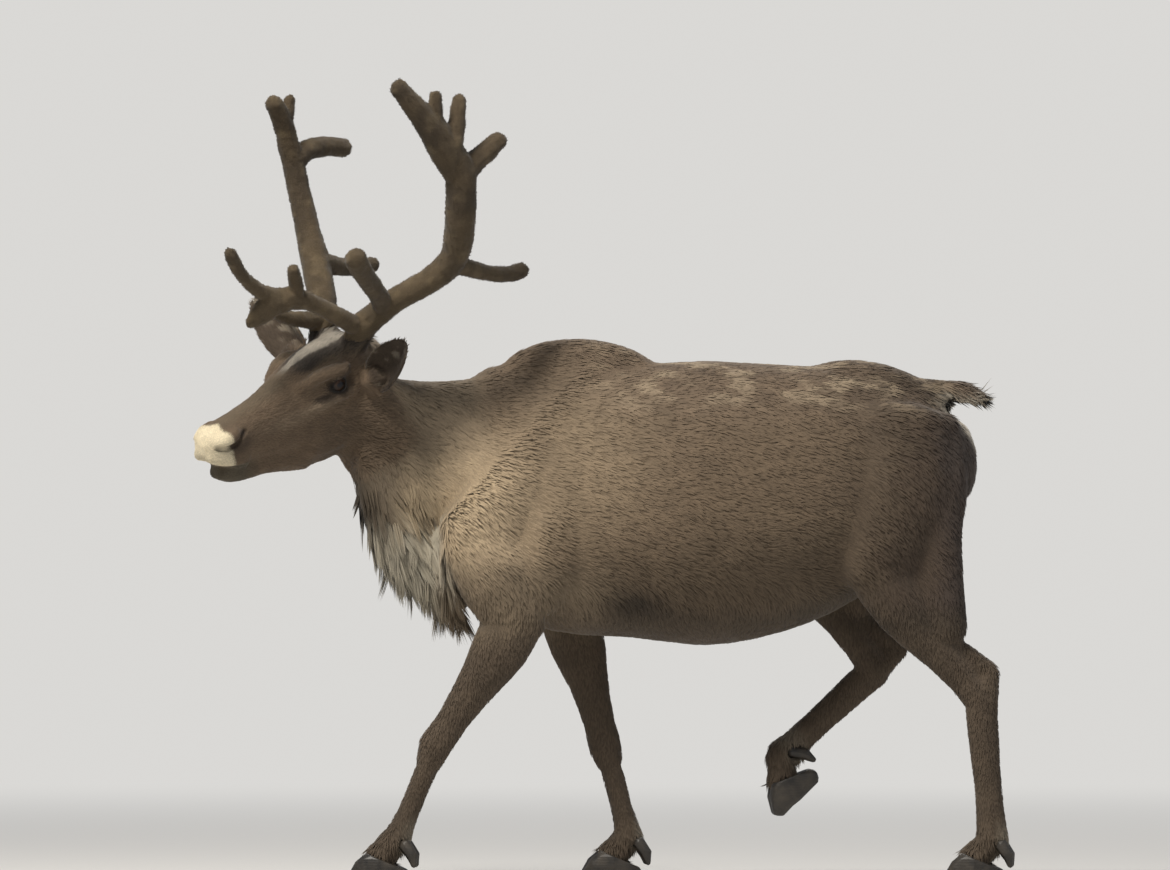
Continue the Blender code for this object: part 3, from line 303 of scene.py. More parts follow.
# markings and painted light: one colour for each point, shared by the skin and the coat; besides the coat's own
# markings it holds painted shade and painted highlights
coatColours = {
    "flank": sRgb(101, 86, 69), "back": sRgb(102, 87, 71), "backPale": sRgb(134, 119, 99),
    "backDark": sRgb(90, 76, 62), "shoulderPaleAndLit": sRgb(168, 149, 122), "neck": sRgb(102, 90, 74),
    "neckPaleAndLit": sRgb(160, 143, 117), "mane": sRgb(158, 150, 133), "underJawShadow": sRgb(52, 45, 36),
    "belly": sRgb(47, 40, 32), "undersideShade": sRgb(70, 60, 46), "hipShade": sRgb(78, 66, 53),
    "thighShade": sRgb(72, 60, 49), "rumpBackShade": sRgb(66, 56, 49), "arm": sRgb(112, 98, 80),
    "leg": sRgb(82, 70, 57), "lowFlankShade": sRgb(86, 73, 58), "fetlock": sRgb(132, 122, 106),
    "tailTop": sRgb(92, 77, 63), "tailUnder": sRgb(206, 196, 178), "face": sRgb(100, 84, 67),
    "bridge": sRgb(96, 84, 68), "forehead": sRgb(54, 48, 42), "cheekPaleAndLit": sRgb(120, 105, 87),
    "eyeRing": sRgb(44, 36, 29), "streak": sRgb(150, 143, 131), "muzzle": sRgb(214, 201, 172),
    "nostril": sRgb(34, 27, 22), "chin": sRgb(80, 73, 60), "lip": sRgb(34, 28, 23),
    "earBack": sRgb(54, 45, 36), "earRim": sRgb(96, 84, 69), "earInside": sRgb(74, 63, 52),
    "earTuft": sRgb(132, 123, 108), "jaw": sRgb(86, 72, 57), "brow": sRgb(104, 90, 73),
    "lidPale": sRgb(92, 78, 63), "lidRim": sRgb(22, 18, 15),
}


def paint(tint, name, share):
    tint += (coatColours[name] - tint) * share[:, None]


def markingsAndPaintedLight(places, normals):
    q, local, near = regions(places)
    x, z = q[:, 0], q[:, 2]
    big = latticeNoise(q, 0.11, 1)
    mid = latticeNoise(q, 0.035, 2)
    fine = latticeNoise(q * np.array([0.55, 1, 1]), 0.012, 3)
    wave = (big - 0.5) * 0.05 + (mid - 0.5) * 0.03
    tint = np.repeat(coatColours["flank"][None], len(q), axis=0)
    paint(tint, "back", smoothStep(0.86, 0.95, z + wave))
    flat = q * [1, 0, 1]
    # painted highlight: the upper shoulder drawn paler where light falls on it, over its own paler fur
    paint(tint, "shoulderPaleAndLit", blob(flat, (-0.14, 0, 0.80), (0.13, 1, 0.14), 0.8) * 0.30)
    # painted shade: the lower flank drawn darker, as light falls from above
    paint(tint, "lowFlankShade", smoothStep(0.70, 0.58, z + wave) * smoothStep(-0.14, 0.0, x) * 0.8)
    # painted shade: the hindquarters drawn darker towards the rear, turned from the light
    paint(tint, "hipShade", smoothStep(0.30, 0.48, x + wave * 2))
    moult = smoothStep(0.88, 0.95, z + wave) * smoothStep(-0.16, 0.02, x)
    patches = latticeNoise(q * np.array([0.6, 1, 1]), 0.028, 4) * 0.6 + fine * 0.4
    paint(tint, "backPale", moult * smoothStep(0.50, 0.68, patches) * 0.85)
    paint(tint, "backDark", moult * smoothStep(0.42, 0.28, patches) * 0.7)
    # painted shade on the thigh and, darkest, on the back of the rump
    rear = x + wave * 2 - (z - 0.75) * 0.25
    paint(tint, "thighShade", smoothStep(0.43, 0.56, rear) * smoothStep(0.97, 0.86, z))
    paint(tint, "rumpBackShade", smoothStep(0.545, 0.60, x + wave) * smoothStep(0.93, 0.82, z))
    # a dark band low on the flank: partly the coat's own dark band, partly painted shade
    lowEdge = 0.585 - 0.035 * smoothStep(-0.05, 0.15, x) + wave
    torsoPart = smoothStep(-0.27, -0.17, x)
    paint(tint, "belly", smoothStep(lowEdge, lowEdge - 0.055, z) * torsoPart * 0.92)
    # painted shade: surfaces that face down drawn darker
    downFacingShade = smoothStep(-0.55, -0.85, normals[:, 2])
    paint(tint, "undersideShade", downFacingShade * torsoPart * smoothStep(0.60, 0.54, z) * 0.6)
    neck = near["neck"]
    paint(tint, "neck", neck)
    # the side of the neck behind the jaw drawn paler: partly pale fur, partly painted light
    pale = neck * smoothStep(0.90, 0.78, z + wave * 2) * smoothStep(-0.50, -0.43, x - (z - 0.75) * 0.4)
    paint(tint, "neckPaleAndLit", pale * 0.85)
    # painted highlight on the point of the shoulder, which faces the light, over its own paler fur
    shoulderPointPaleAndLit = blob(flat, (-0.315, 0, 0.690), (0.105, 1, 0.14), 0.65)
    paint(tint, "shoulderPaleAndLit", shoulderPointPaleAndLit * smoothStep(-0.415, -0.375, x) * 0.85)
    # painted shadow: the throat under the jaw drawn dark
    paint(tint, "underJawShadow", neck * smoothStep(-0.46, -0.54, x + (z - 0.75) * 0.35) * 0.8)
    paint(tint, "mane", near["mane"] * smoothStep(0.735, 0.675, z + wave) * smoothStep(-0.315, -0.375, x))
    legs = smoothStep(0.58, 0.44, z + wave)
    arm = smoothStep(0.66, 0.56, z + wave) * smoothStep(-0.02, -0.12, x) * smoothStep(-0.44, -0.36, x)
    paint(tint, "arm", arm)
    paint(tint, "leg", legs * smoothStep(0.62, 0.50, z + 0.4 * np.clip(-0.12 - x, 0, 1)))
    paint(tint, "leg", smoothStep(0.46, 0.34, z))
    for name in feet:
        heel = feet[name] @ Vector((-0.030, 0, -0.004))
        paint(tint, "fetlock", blob(places, heel, (0.030, 0.026, 0.040), 0.5) * 0.8)
    paint(tint, "tailTop", near["tail"])
    paint(tint, "tailUnder", near["tail"] * smoothStep(0.15, -0.25, normals[:, 2]))
    paint(tint, "tailUnder", blob(q, (0.595, 0, 0.885), (0.06, 0.045, 0.05), 0.5) * 0.7)
    tint = faceMarkingsAndPaintedLight(tint, local, near, fine, mid)
    for sign in (1, -1):
        ear = near["ear", sign]
        inside = smoothStep(-0.05, 0.35, normals @ near["cup", sign])
        paint(tint, "earBack", ear)
        paint(tint, "earInside", ear * inside)
        paint(tint, "earTuft", ear * inside * smoothStep(0.58, 0.70, fine * 0.5 + mid * 0.5) * 0.7)
        paint(tint, "earRim", ear * (1 - np.abs(2 * inside - 1)) * 0.9)
    grain = 1 + (fine - 0.5) * 0.22 + (mid - 0.5) * 0.12 + (big - 0.5) * 0.10
    return np.clip(tint * grain[:, None], 0, 1)


def faceMarkingsAndPaintedLight(tint, local, near, fine, mid):
    back, left, up = local.T
    side = np.abs(left)
    even = np.stack([back, side, up], axis=1)
    here = near["head"]
    wobble = (mid - 0.5) * 0.010 + (fine - 0.5) * 0.006
    face = np.repeat(coatColours["face"][None], len(local), axis=0)
    ridge = smoothStep(0.034, 0.014, side) * smoothStep(0.0, 0.03, up - 0.12 * back)
    paint(face, "bridge", ridge * smoothStep(0.25, 0.18, back))
    paint(face, "jaw", smoothStep(0.21, 0.30, back) * smoothStep(-0.01, -0.05, up) * 0.8)
    # pale patches on the cheek: partly pale hair, partly painted highlight
    paint(face, "cheekPaleAndLit", blob(even, (0.200, 0.050, -0.012), (0.065, 0.04, 0.013), 0.7) * 0.45)
    paint(face, "cheekPaleAndLit", blob(even, (0.262, 0.060, -0.004), (0.040, 0.03, 0.010), 0.6) * 0.60)
    paint(face, "forehead", smoothStep(0.205, 0.26, back) * smoothStep(0.052, 0.068, up + wobble) * 0.95)
    # painted highlight: the brow ridge drawn a little paler, where light falls on it
    brow = blob(even, (0.285, 0.050, 0.066), (0.062, 0.012, 0.014), 0.6)
    paint(face, "brow", brow * 0.75)
    paint(face, "eyeRing", blob(even, (0.302, 0.076, 0.022), (0.030, 0.03, 0.021), 0.45) * 0.9)
    paint(face, "eyeRing", blob(even, (0.266, 0.066, 0.004), (0.024, 0.03, 0.008), 0.5) * 0.8)
    paint(face, "lidRim", blob(even, (0.300, 0.080, 0.022), (0.0235, 0.03, 0.0145), 0.25) * 0.95)
    paint(face, "lidPale", blob(even, (0.302, 0.080, -0.002), (0.020, 0.03, 0.0045), 0.6) * 0.45)
    streakWidth = 0.009 + 0.012 * smoothStep(0.24, 0.33, back)
    line = 1 - smoothStep(0.75, 1.25, np.abs(left + 0.004) / streakWidth + wobble * 30)
    line *= smoothStep(0.205, 0.25, back + wobble) * smoothStep(0.40, 0.37, back) * smoothStep(0.045, 0.062, up)
    paint(face, "streak", line * (0.70 + 0.30 * fine))
    edge = 0.041 - 0.006 * smoothStep(0.010, 0.028, up) + 0.010 * smoothStep(0.02, 0.0, side) + wobble * 0.5
    lip = -0.046 - 0.10 * back + wobble * 0.3
    tipOfNose = smoothStep(edge + 0.005, edge - 0.005, back)
    paint(face, "muzzle", tipOfNose * smoothStep(lip - 0.002, lip + 0.003, up))
    paint(face, "chin", smoothStep(0.12, 0.06, back) * smoothStep(lip + 0.001, lip - 0.004, up) * 0.9)
    paint(face, "nostril", blob(even, (0.062, 0.045, -0.014), (0.028, 0.03, 0.017), 0.6) * 0.45)
    groove = nearLine(even, nostrilLine)
    paint(face, "nostril", smoothStep(0.0070, 0.0042, groove) * 0.97)
    mouth = nearLine(even, mouthLine)
    paint(face, "lip", smoothStep(0.0042, 0.0016, mouth) * smoothStep(0.11, 0.08, back) * 0.9)
    return tint + (face - tint) * here[:, None]


# the nostril and the line of the mouth in the head's frame: back, side, up
nostrilLine = (
    (0.011, 0.030, -0.0065), (0.027, 0.036, -0.0110), (0.048, 0.038, -0.0100),
    (0.066, 0.040, -0.0030), (0.080, 0.036, 0.0050),
)
mouthLine = (
    (-0.002, 0.000, -0.043), (0.010, 0.018, -0.0435), (0.020, 0.027, -0.046),
    (0.041, 0.036, -0.052), (0.070, 0.041, -0.062), (0.098, 0.043, -0.068),
)


# feet: the same frames as the hooves stand in
def footFrame(sign, fetlock, toesDown=0.0):
    place = Matrix.Translation(shift) @ Matrix.Translation((fetlock[0], sign * 0.092, fetlock[1]))
    facing = Matrix.Rotation(math.pi + math.radians(4 * sign), 4, "Z")
    return place @ facing @ Matrix.Rotation(math.radians(toesDown), 4, "Y")


feet = {
    "foreleg_left": footFrame(-1, (-0.462, 0.086)),
    "foreleg_right": footFrame(1, (-0.020, 0.086)),
    "hindleg_left": footFrame(-1, (0.671, 0.086)),
    "hindleg_right": footFrame(1, (0.273, 0.244), 44.0),
}


# materials
def newMaterial(name):
    material = bpy.data.materials.new(name)
    material.use_nodes = True
    shader = material.node_tree.nodes["Principled BSDF"]
    return material, material.node_tree, shader


def setInputs(node, values):
    for key, value in values.items():
        node.inputs[key].default_value = value


def addNode(tree, kind, inputs=None, **settings):
    node = tree.nodes.new(kind)
    for key, value in settings.items():
        setattr(node, key, value)
    setInputs(node, inputs or {})
    return node


def wire(source, output, target, entry):
    source.id_data.links.new(source.outputs[output], target.inputs[entry])


def addRamp(tree, *stops):
    # a colour ramp from pairs of place and colour
    ramp = addNode(tree, "ShaderNodeValToRGB")
    marks = ramp.color_ramp.elements
    for mark, (spot, tone) in zip((marks[0], marks[1]), (stops[0], stops[-1])):
        mark.position, mark.color = spot, (*tone, 1)
    for spot, tone in stops[1:-1]:
        marks.new(spot).color = (*tone, 1)
    return ramp


def buildGrainGroup():
    # fine variation of a colour and a height, along Object coordinates
    group = bpy.data.node_groups.new("hairGrain", "ShaderNodeTree")
    group.interface.new_socket("Colour", in_out="INPUT", socket_type="NodeSocketColor")
    for name, value in (("Scale", 260.0), ("Amount", 0.25)):
        group.interface.new_socket(name, in_out="INPUT", socket_type="NodeSocketFloat").default_value = value
    group.interface.new_socket("Colour", in_out="OUTPUT", socket_type="NodeSocketColor")
    group.interface.new_socket("Height", in_out="OUTPUT", socket_type="NodeSocketFloat")
    start = addNode(group, "NodeGroupInput")
    end = addNode(group, "NodeGroupOutput")
    place = addNode(group, "ShaderNodeTexCoord")
    strand = addNode(group, "ShaderNodeTexNoise", {"Detail": 3.0, "Roughness": 0.65})
    wide = addNode(group, "ShaderNodeTexNoise", {"Scale": 38.0, "Detail": 2.0})
    wire(place, "Object", strand, "Vector")
    wire(place, "Object", wide, "Vector")
    wire(start, "Scale", strand, "Scale")
    both = addNode(group, "ShaderNodeMath", operation="ADD")
    wire(strand, "Fac", both, 0)
    wire(wide, "Fac", both, 1)
    centred = addNode(group, "ShaderNodeMath", {1: -1.0}, operation="ADD")
    wire(both, 0, centred, 0)
    scaled = addNode(group, "ShaderNodeMath", operation="MULTIPLY_ADD", inputs={2: 1.0})
    wire(centred, 0, scaled, 0)
    wire(start, "Amount", scaled, 1)
    tinted = addNode(group, "ShaderNodeVectorMath", operation="SCALE")
    wire(start, "Colour", tinted, 0)
    wire(scaled, 0, tinted, "Scale")
    wire(tinted, 0, end, "Colour")
    wire(strand, "Fac", end, "Height")
    return group


grainGroup = buildGrainGroup()


furLook = {"Specular IOR Level": 0.25, "Sheen Weight": 0.12, "Sheen Roughness": 0.5}


def furMaterial(name, attribute, roughness, grain, bump, scale):
    material, tree, shader = newMaterial(name)
    colour = addNode(tree, "ShaderNodeAttribute", attribute_name=attribute)
    effect = addNode(tree, "ShaderNodeGroup", node_tree=grainGroup)
    setInputs(effect, {"Scale": scale, "Amount": grain})
    wire(colour, "Color", effect, "Colour")
    wire(effect, "Colour", shader, "Base Color")
    if bump:
        relief = addNode(tree, "ShaderNodeBump", {"Strength": bump, "Distance": 0.0015})
        wire(effect, "Height", relief, "Height")
        wire(relief, "Normal", shader, "Normal")
    setInputs(shader, {"Roughness": roughness, **furLook})
    return material


skinMaterial = furMaterial("short_fur", "coatTint", 0.85, 0.35, 0.7, 320.0)
tuftMaterial = furMaterial("coat_tufts", "coatTint", 0.75, 0.20, 0.0, 600.0)


# skin: the flesh nodes as one surface, drawn in by the depth of the coat
fleshNodes = ["head", "neck", "torso", "tail", "ear_left", "ear_right"]
fleshNodes += [f"{leg}_{half}" for leg in feet for half in ("upper", "lower")]
skinShape = {
    "voxel": 0.0024, "rounds": 190, "maneRounds": 60, "triangles": 180000,
    "lockDepth": 0.009, "paintedShade": 0.80, "unwrapTriangles": 9000,
}
skinDepths = {"body": 0.0045, "head": 0.0006, "leg": 0.0020, "mane": 0.0060, "tail": 0.0055, "ear": 0.0004}


def skinDepth(places):
    near = regions(places)[2]
    depth = np.full(len(places), skinDepths["body"])
    for name in ("head", "leg", "mane", "tail"):
        depth += (skinDepths[name] - depth) * near[name]
    for sign in (1, -1):
        depth += (skinDepths["ear"] - depth) * near["ear", sign]
    return depth


def skinSoftness(places):
    # how far smoothing may go: least on feet, head and ears
    q, local, near = regions(places)
    soft = np.full(len(q), 1.0)
    soft += (0.10 - soft) * near["leg"]
    soft += (0.04 - soft) * smoothStep(0.30, 0.22, q[:, 2])
    soft += (0.30 - soft) * near["tail"]
    soft += (0.05 - soft) * near["head"]
    for sign in (1, -1):
        soft += (0.02 - soft) * smoothStep(0.0, 0.3, near["ear", sign])
    return soft


def shrunkenTree(depth):
    # Geometry Nodes: a closed mesh drawn in by a depth, which thin forms don't outlast
    tree = bpy.data.node_groups.new("shrunken", "GeometryNodeTree")
    tree.interface.new_socket("Geometry", in_out="INPUT", socket_type="NodeSocketGeometry")
    band = tree.interface.new_socket("Band", in_out="INPUT", socket_type="NodeSocketFloat")
    cell = tree.interface.new_socket("Cell", in_out="INPUT", socket_type="NodeSocketFloat")
    tree.interface.new_socket("Geometry", in_out="OUTPUT", socket_type="NodeSocketGeometry")
    start = tree.nodes.new("NodeGroupInput")
    end = tree.nodes.new("NodeGroupOutput")
    fill = addNode(tree, "GeometryNodeMeshToVolume", resolution_mode="VOXEL_SIZE")
    level = {"Threshold": 0.5, "Adaptivity": 0.0}
    shell = addNode(tree, "GeometryNodeVolumeToMesh", level, resolution_mode="GRID")
    wire(start, "Geometry", fill, "Mesh")
    wire(start, "Band", fill, "Interior Band Width")
    wire(start, "Cell", fill, "Voxel Size")
    wire(fill, "Volume", shell, "Volume")
    wire(shell, "Mesh", end, "Geometry")
    return tree, {band.identifier: 2 * depth, cell.identifier: 0.004}


def withoutLocks(skin):
    # where the solids carry locks, the skin follows the core under them
    tree, values = shrunkenTree(skinShape["lockDepth"])
    core = link("core", skin.data.copy())
    shrink = core.modifiers.new("shrink", "NODES")
    shrink.node_group = tree
    for key, value in values.items():
        shrink[key] = value
    core = applied(core)
    coreNormals = vertexNormals(core.data)
    corePlaces = vertexPlaces(core.data) + coreNormals * skinShape["lockDepth"] * 0.9
    faces = [list(p.vertices) for p in core.data.polygons]
    search = searchTree(corePlaces, faces)
    bpy.data.objects.remove(core, do_unlink=True)
    places = vertexPlaces(skin.data)
    share = smoothStep(0.0, 0.35, regions(places)[2]["mane"])
    for index in np.flatnonzero(share > 0.001):
        spot = search.find_nearest(Vector(places[index]))[0]
        places[index] += (np.array(spot) - places[index]) * share[index]
    moveVertices(skin.data, places)
    return remeshed(skin, skinShape["voxel"])


def largestPart(obj):
    work = bmesh.new()
    work.from_mesh(obj.data)
    work.verts.ensure_lookup_table()
    label = [-1] * len(work.verts)
    sizes = []
    for seed in work.verts:
        if label[seed.index] >= 0:
            continue
        group = len(sizes)
        stack = [seed]
        label[seed.index] = group
        size = 0
        while stack:
            vert = stack.pop()
            size += 1
            for edge in vert.link_edges:
                other = edge.other_vert(vert)
                if label[other.index] < 0:
                    label[other.index] = group
                    stack.append(other)
        sizes.append(size)
    keep = int(np.argmax(sizes))
    loose = [v for v in work.verts if label[v.index] != keep]
    bmesh.ops.delete(work, geom=loose, context="VERTS")
    work.to_mesh(obj.data)
    work.free()
    return obj


def carved(skin):
    # the nostrils and the line of the mouth are pressed into the skin, the lids raised round the eyes
    places, normals = vertexPlaces(skin.data), vertexNormals(skin.data)
    q, local, near = regions(places)
    even = np.stack([local[:, 0], np.abs(local[:, 1]), local[:, 2]], axis=1)
    nostril = nearLine(even, nostrilLine)
    mouth = nearLine(even, mouthLine)
    push = 0.0050 * smoothStep(0.0085, 0.0015, nostril)
    push -= 0.0014 * blob(even, (0.040, 0.040, 0.004), (0.030, 0.03, 0.010), 0.7)
    push += 0.0026 * smoothStep(0.0060, 0.0010, mouth)
    push -= 0.0022 * blob(even, (0.302, 0.078, 0.000), (0.022, 0.03, 0.006), 0.8)
    push -= 0.0026 * blob(even, (0.300, 0.074, 0.046), (0.034, 0.03, 0.008), 0.8)
    push += 0.0022 * blob(even, (0.262, 0.066, 0.006), (0.020, 0.03, 0.007), 0.8)
    places -= normals * (push * near["head"])[:, None]
    moveVertices(skin.data, places)


def makeSkin():
    skin = remeshed(nodeCopy("skin", fleshNodes), skinShape["voxel"])
    print("skin: remeshed", len(skin.data.vertices))
    skin = largestPart(withoutLocks(skin))
    near = regions(vertexPlaces(skin.data))[2]
    skin = smoothed(skin, skinShape["maneRounds"], smoothStep(0, 0.5, near["mane"]))
    skin = smoothed(skin, skinShape["rounds"], skinSoftness(vertexPlaces(skin.data)))
    places = vertexPlaces(skin.data)
    places -= vertexNormals(skin.data) * skinDepth(places)[:, None]
    moveVertices(skin.data, places)
    carved(skin)
    headShare = regions(places)[2]["head"]
    skin = thinned(skin, skinShape["triangles"], 1 - 0.02 * headShare)
    print("skin: thinned", len(skin.data.polygons))
    smoothFaces(skin)
    return skin


skin = makeSkin()
skinPlaces = vertexPlaces(skin.data)
skinNormals = vertexNormals(skin.data)
# painted shade: the skin under the coat drawn darker than the tufts on it
storeColour(skin.data, "coatTint", markingsAndPaintedLight(skinPlaces, skinNormals) * skinShape["paintedShade"])
finishPiece(skin, skinMaterial, "coat", *fleshNodes)
print("skin: coloured")


# coat: closed wedges set along the lie, each with its own shade
skinFaces = faceCorners(skin.data)
skinMiddles = skinPlaces[skinFaces].mean(axis=1)


def lieOfCoat(places, normals):
    q, local, near = regions(places)
    back, up = headAxes.T[0], headAxes.T[2]
    x, z = q[:, 0], q[:, 2]
    way = np.repeat(np.array([[0.94, 0, -0.34]]), len(q), axis=0)
    way = mixed(way, (0.55, 0, -0.83), smoothStep(0.36, 0.52, x) * smoothStep(0.93, 0.72, z))
    way = mixed(way, (0.70, 0, -0.72), smoothStep(-0.15, -0.30, x) * smoothStep(0.85, 0.70, z))
    way = mixed(way, (0.80, 0.18, -0.58), near["neck"])
    way = mixed(way, (0.30, 0.05, -0.95), near["mane"])
    way = mixed(way, (0.05, 0, -1.0), smoothStep(0.62, 0.50, z))
    cheek = smoothStep(0.02, -0.06, local[:, 2])
    face = back[None, :] * (1 - 0.2 * cheek)[:, None] - up[None, :] * (0.35 * cheek)[:, None]
    way += (face - way) * near["head"][:, None]
    way = mixed(way, (0.9, 0, -0.4), near["tail"])
    for sign in (1, -1):
        way = mixed(way, Vector(earPose[sign][1]).normalized(), near["ear", sign])
    turn = np.stack([latticeNoise(q, 0.05, 11 + k) - 0.5 for k in range(3)], axis=1)
    way = unit(way) + turn * 0.45
    return unit(way - normals * (way * normals).sum(axis=1)[:, None])


def scatter(density, count, seed, places=None, normals=None, faces=None):
    # evenly drawn roots on a surface, more where the density is high
    places = skinPlaces if places is None else places
    normals = skinNormals if normals is None else normals
    faces = skinFaces if faces is None else faces
    draw = np.random.default_rng(seed)
    a, b, c = (places[faces[:, k]] for k in range(3))
    share = np.cumsum(np.linalg.norm(np.cross(b - a, c - a), axis=1) * density)
    pick = np.searchsorted(share, (np.arange(count) + draw.random(count)) / count * share[-1])
    pick = np.minimum(pick, len(faces) - 1)
    u, v = np.sqrt(draw.random(count)), draw.random(count)
    weights = np.stack([1 - u, u * (1 - v), u * v], axis=1)[:, :, None]
    return (weights * places[faces[pick]]).sum(axis=1), unit((weights * normals[faces[pick]]).sum(axis=1))


def storeBakeMap(mesh, rows):
    layer = mesh.uv_layers.new(name="OFBake")
    layer.data.foreach_set("uv", rows[faceCorners(mesh).ravel()].astype(np.float32).ravel())


coarse = thinned(link("unwrapped", skin.data.copy()), skinShape["unwrapTriangles"])
coarsePlaces = vertexPlaces(coarse.data)
coarseFaces = faceCorners(coarse.data)
bpy.data.objects.remove(coarse, do_unlink=True)


def bakePlaces(roots, chosen, places=None, faces=None):
    # where each root lies on an unwrap of the coarse surface's chosen faces
    places = coarsePlaces if places is None else places
    faces = coarseFaces if faces is None else faces
    faces = faces[chosen]
    sheet = link("sheet", meshFromArrays("sheet", places, faces))
    bpy.context.view_layer.objects.active = sheet
    sheet.select_set(True)
    bpy.ops.object.mode_set(mode="EDIT")
    bpy.ops.mesh.select_all(action="SELECT")
    bpy.ops.uv.smart_project(angle_limit=math.radians(66), island_margin=0.002, scale_to_bounds=True)
    bpy.ops.object.mode_set(mode="OBJECT")
    flat = np.empty(len(sheet.data.loops) * 2, dtype=np.float32)
    sheet.data.uv_layers.active.data.foreach_get("uv", flat)
    flat = flat.reshape(-1, 3, 2)
    bpy.data.objects.remove(sheet, do_unlink=True)
    search = searchTree(places, faces.tolist())
    hits = [search.find_nearest(Vector(root)) for root in roots]
    face = np.array([hit[2] for hit in hits])
    spot = np.array([hit[0] for hit in hits])
    a, b, c = (places[faces[face][:, k]] for k in range(3))
    e, f, g = b - a, c - a, spot - a
    ee, ef, ff, ge, gf = ((m * n).sum(axis=1) for m, n in ((e, e), (e, f), (f, f), (g, e), (g, f)))
    below = np.maximum(ee * ff - ef * ef, 1e-18)
    v = ((ff * ge - ef * gf) / below)[:, None]
    w = ((ee * gf - ef * ge) / below)[:, None]
    return flat[face, 0] * (1 - v - w) + flat[face, 1] * v + flat[face, 2] * w


# a wedge: two rings of three points and a tip, with their place on the bake map, lean and painted shade, darker
# at the root and lighter at the tip
wedgeFaces = np.array([
    (0, 1, 4), (0, 4, 3), (0, 3, 5), (0, 5, 2), (1, 2, 5), (1, 5, 4),
    (0, 2, 1), (3, 4, 6), (3, 6, 5), (4, 5, 6),
])
patchSize = 0.003
wedgePatch = np.array([
    (-0.4, -0.5), (0.4, -0.5), (0, -0.5), (-0.5, 0.1), (0.5, 0.1), (0, 0.1), (0, 0.5),
]) * patchSize
wedgeLean = ((-0.45, -0.2), (0.45, -0.2), (0, -0.2), (-0.45, 0), (0.45, 0), (0, 0), (0, 0.25))
# painted shade of a tuft's seven points, darker at the root and lighter at the tip
wedgePaintedShade = np.array([0.84, 0.84, 0.90, 0.98, 0.98, 1.0, 1.07])


def tuftPiece(name, roots, normals, lies, length, width, lift, tints, patches, material, slot, sink=0.0012):
    across = np.cross(normals, lies)
    length, width = length[:, None], width[:, None]
    rise = np.sin(lift)[:, None]
    half, thick = across * width / 2, normals * width * 0.32
    base = roots - normals * sink
    middle = roots + lies * length * 0.45 + normals * rise * length * 0.42
    tip = roots + lies * length * 0.97 + normals * rise * length * 0.62
    rows = [base - half * 0.8, base + half * 0.8, base + thick]
    rows += [middle - half, middle + half, middle + thick, tip]
    points = np.stack(rows, axis=1).reshape(-1, 3)
    count = len(roots)
    faces = (wedgeFaces[None] + 7 * np.arange(count)[:, None, None]).reshape(-1, 3)
    mesh = meshFromArrays(name, points, faces)
    leaning = [normals + across * side + lies * along for side, along in wedgeLean]
    mesh.normals_split_custom_set_from_vertices(unit(np.stack(leaning, axis=1).reshape(-1, 3)))
    # painted shade on each tuft
    shadedTints = tints[:, None, :] * wedgePaintedShade[None, :, None]
    storeColour(mesh, "coatTint", np.clip(shadedTints, 0, 1).reshape(-1, 3))
    storeBakeMap(mesh, (patches[:, None, :] + wedgePatch[None]).reshape(-1, 2))
    return finishPiece(link(name, mesh), material, slot)


# length and width in metres and lift in degrees of the tufts
tuftSizes = {
    "body": (0.0250, 0.0036, 5.5), "neck": (0.030, 0.0038, 7.0), "belly": (0.032, 0.0040, 8.0),
    "leg": (0.0135, 0.0028, 8.0), "shank": (0.0105, 0.0024, 9.0), "foot": (0.0200, 0.0026, 10.0),
    "head": (0.0095, 0.0019, 9.0), "muzzle": (0.0045, 0.0013, 8.0), "poll": (0.0150, 0.0026, 12.0),
    "tail": (0.042, 0.0040, 14.0), "ear": (0.0070, 0.0016, 7.0), "earInside": (0.0100, 0.0014, 20.0),
}


def sizeRows(name, count):
    return np.repeat(np.array([tuftSizes[name]]), count, axis=0)


def coatShape(places, normals, draw):
    # length, width and lift of the tufts at their roots
    q, local, near = regions(places)
    z = q[:, 2]
    rows = sizeRows("body", len(q))
    rows = mixed(rows, tuftSizes["neck"], near["neck"])
    rows = mixed(rows, tuftSizes["belly"], near["belly"])
    rows = mixed(rows, tuftSizes["leg"], smoothStep(0.58, 0.46, z))
    rows = mixed(rows, tuftSizes["shank"], smoothStep(0.30, 0.20, z))
    for name in feet:
        rim = blob(places, feet[name] @ Vector((0.020, 0, -0.030)), (0.055,) * 3, 0.4)
        heel = blob(places, feet[name] @ Vector((-0.022, 0, -0.012)), (0.035,) * 3, 0.4)
        rows = mixed(rows, tuftSizes["foot"], np.maximum(rim, heel))
    face = sizeRows("head", len(q))
    face = mixed(face, tuftSizes["muzzle"], smoothStep(0.12, 0.06, local[:, 0]))
    face = mixed(face, tuftSizes["poll"], smoothStep(0.26, 0.36, local[:, 0]))
    rows += (face - rows) * near["head"][:, None]
    rows = mixed(rows, tuftSizes["tail"], near["tail"])
    for sign in (1, -1):
        inside = smoothStep(0.0, 0.4, normals @ near["cup", sign])
        ear = mixed(sizeRows("ear", len(q)), tuftSizes["earInside"], inside)
        rows += (ear - rows) * near["ear", sign][:, None]
    rows[:, 0] *= 0.75 + 0.5 * draw.random(len(q))
    rows[:, 1] *= 0.80 + 0.4 * draw.random(len(q))
    rows[:, 2] *= 0.6 + 0.8 * draw.random(len(q))
    return rows


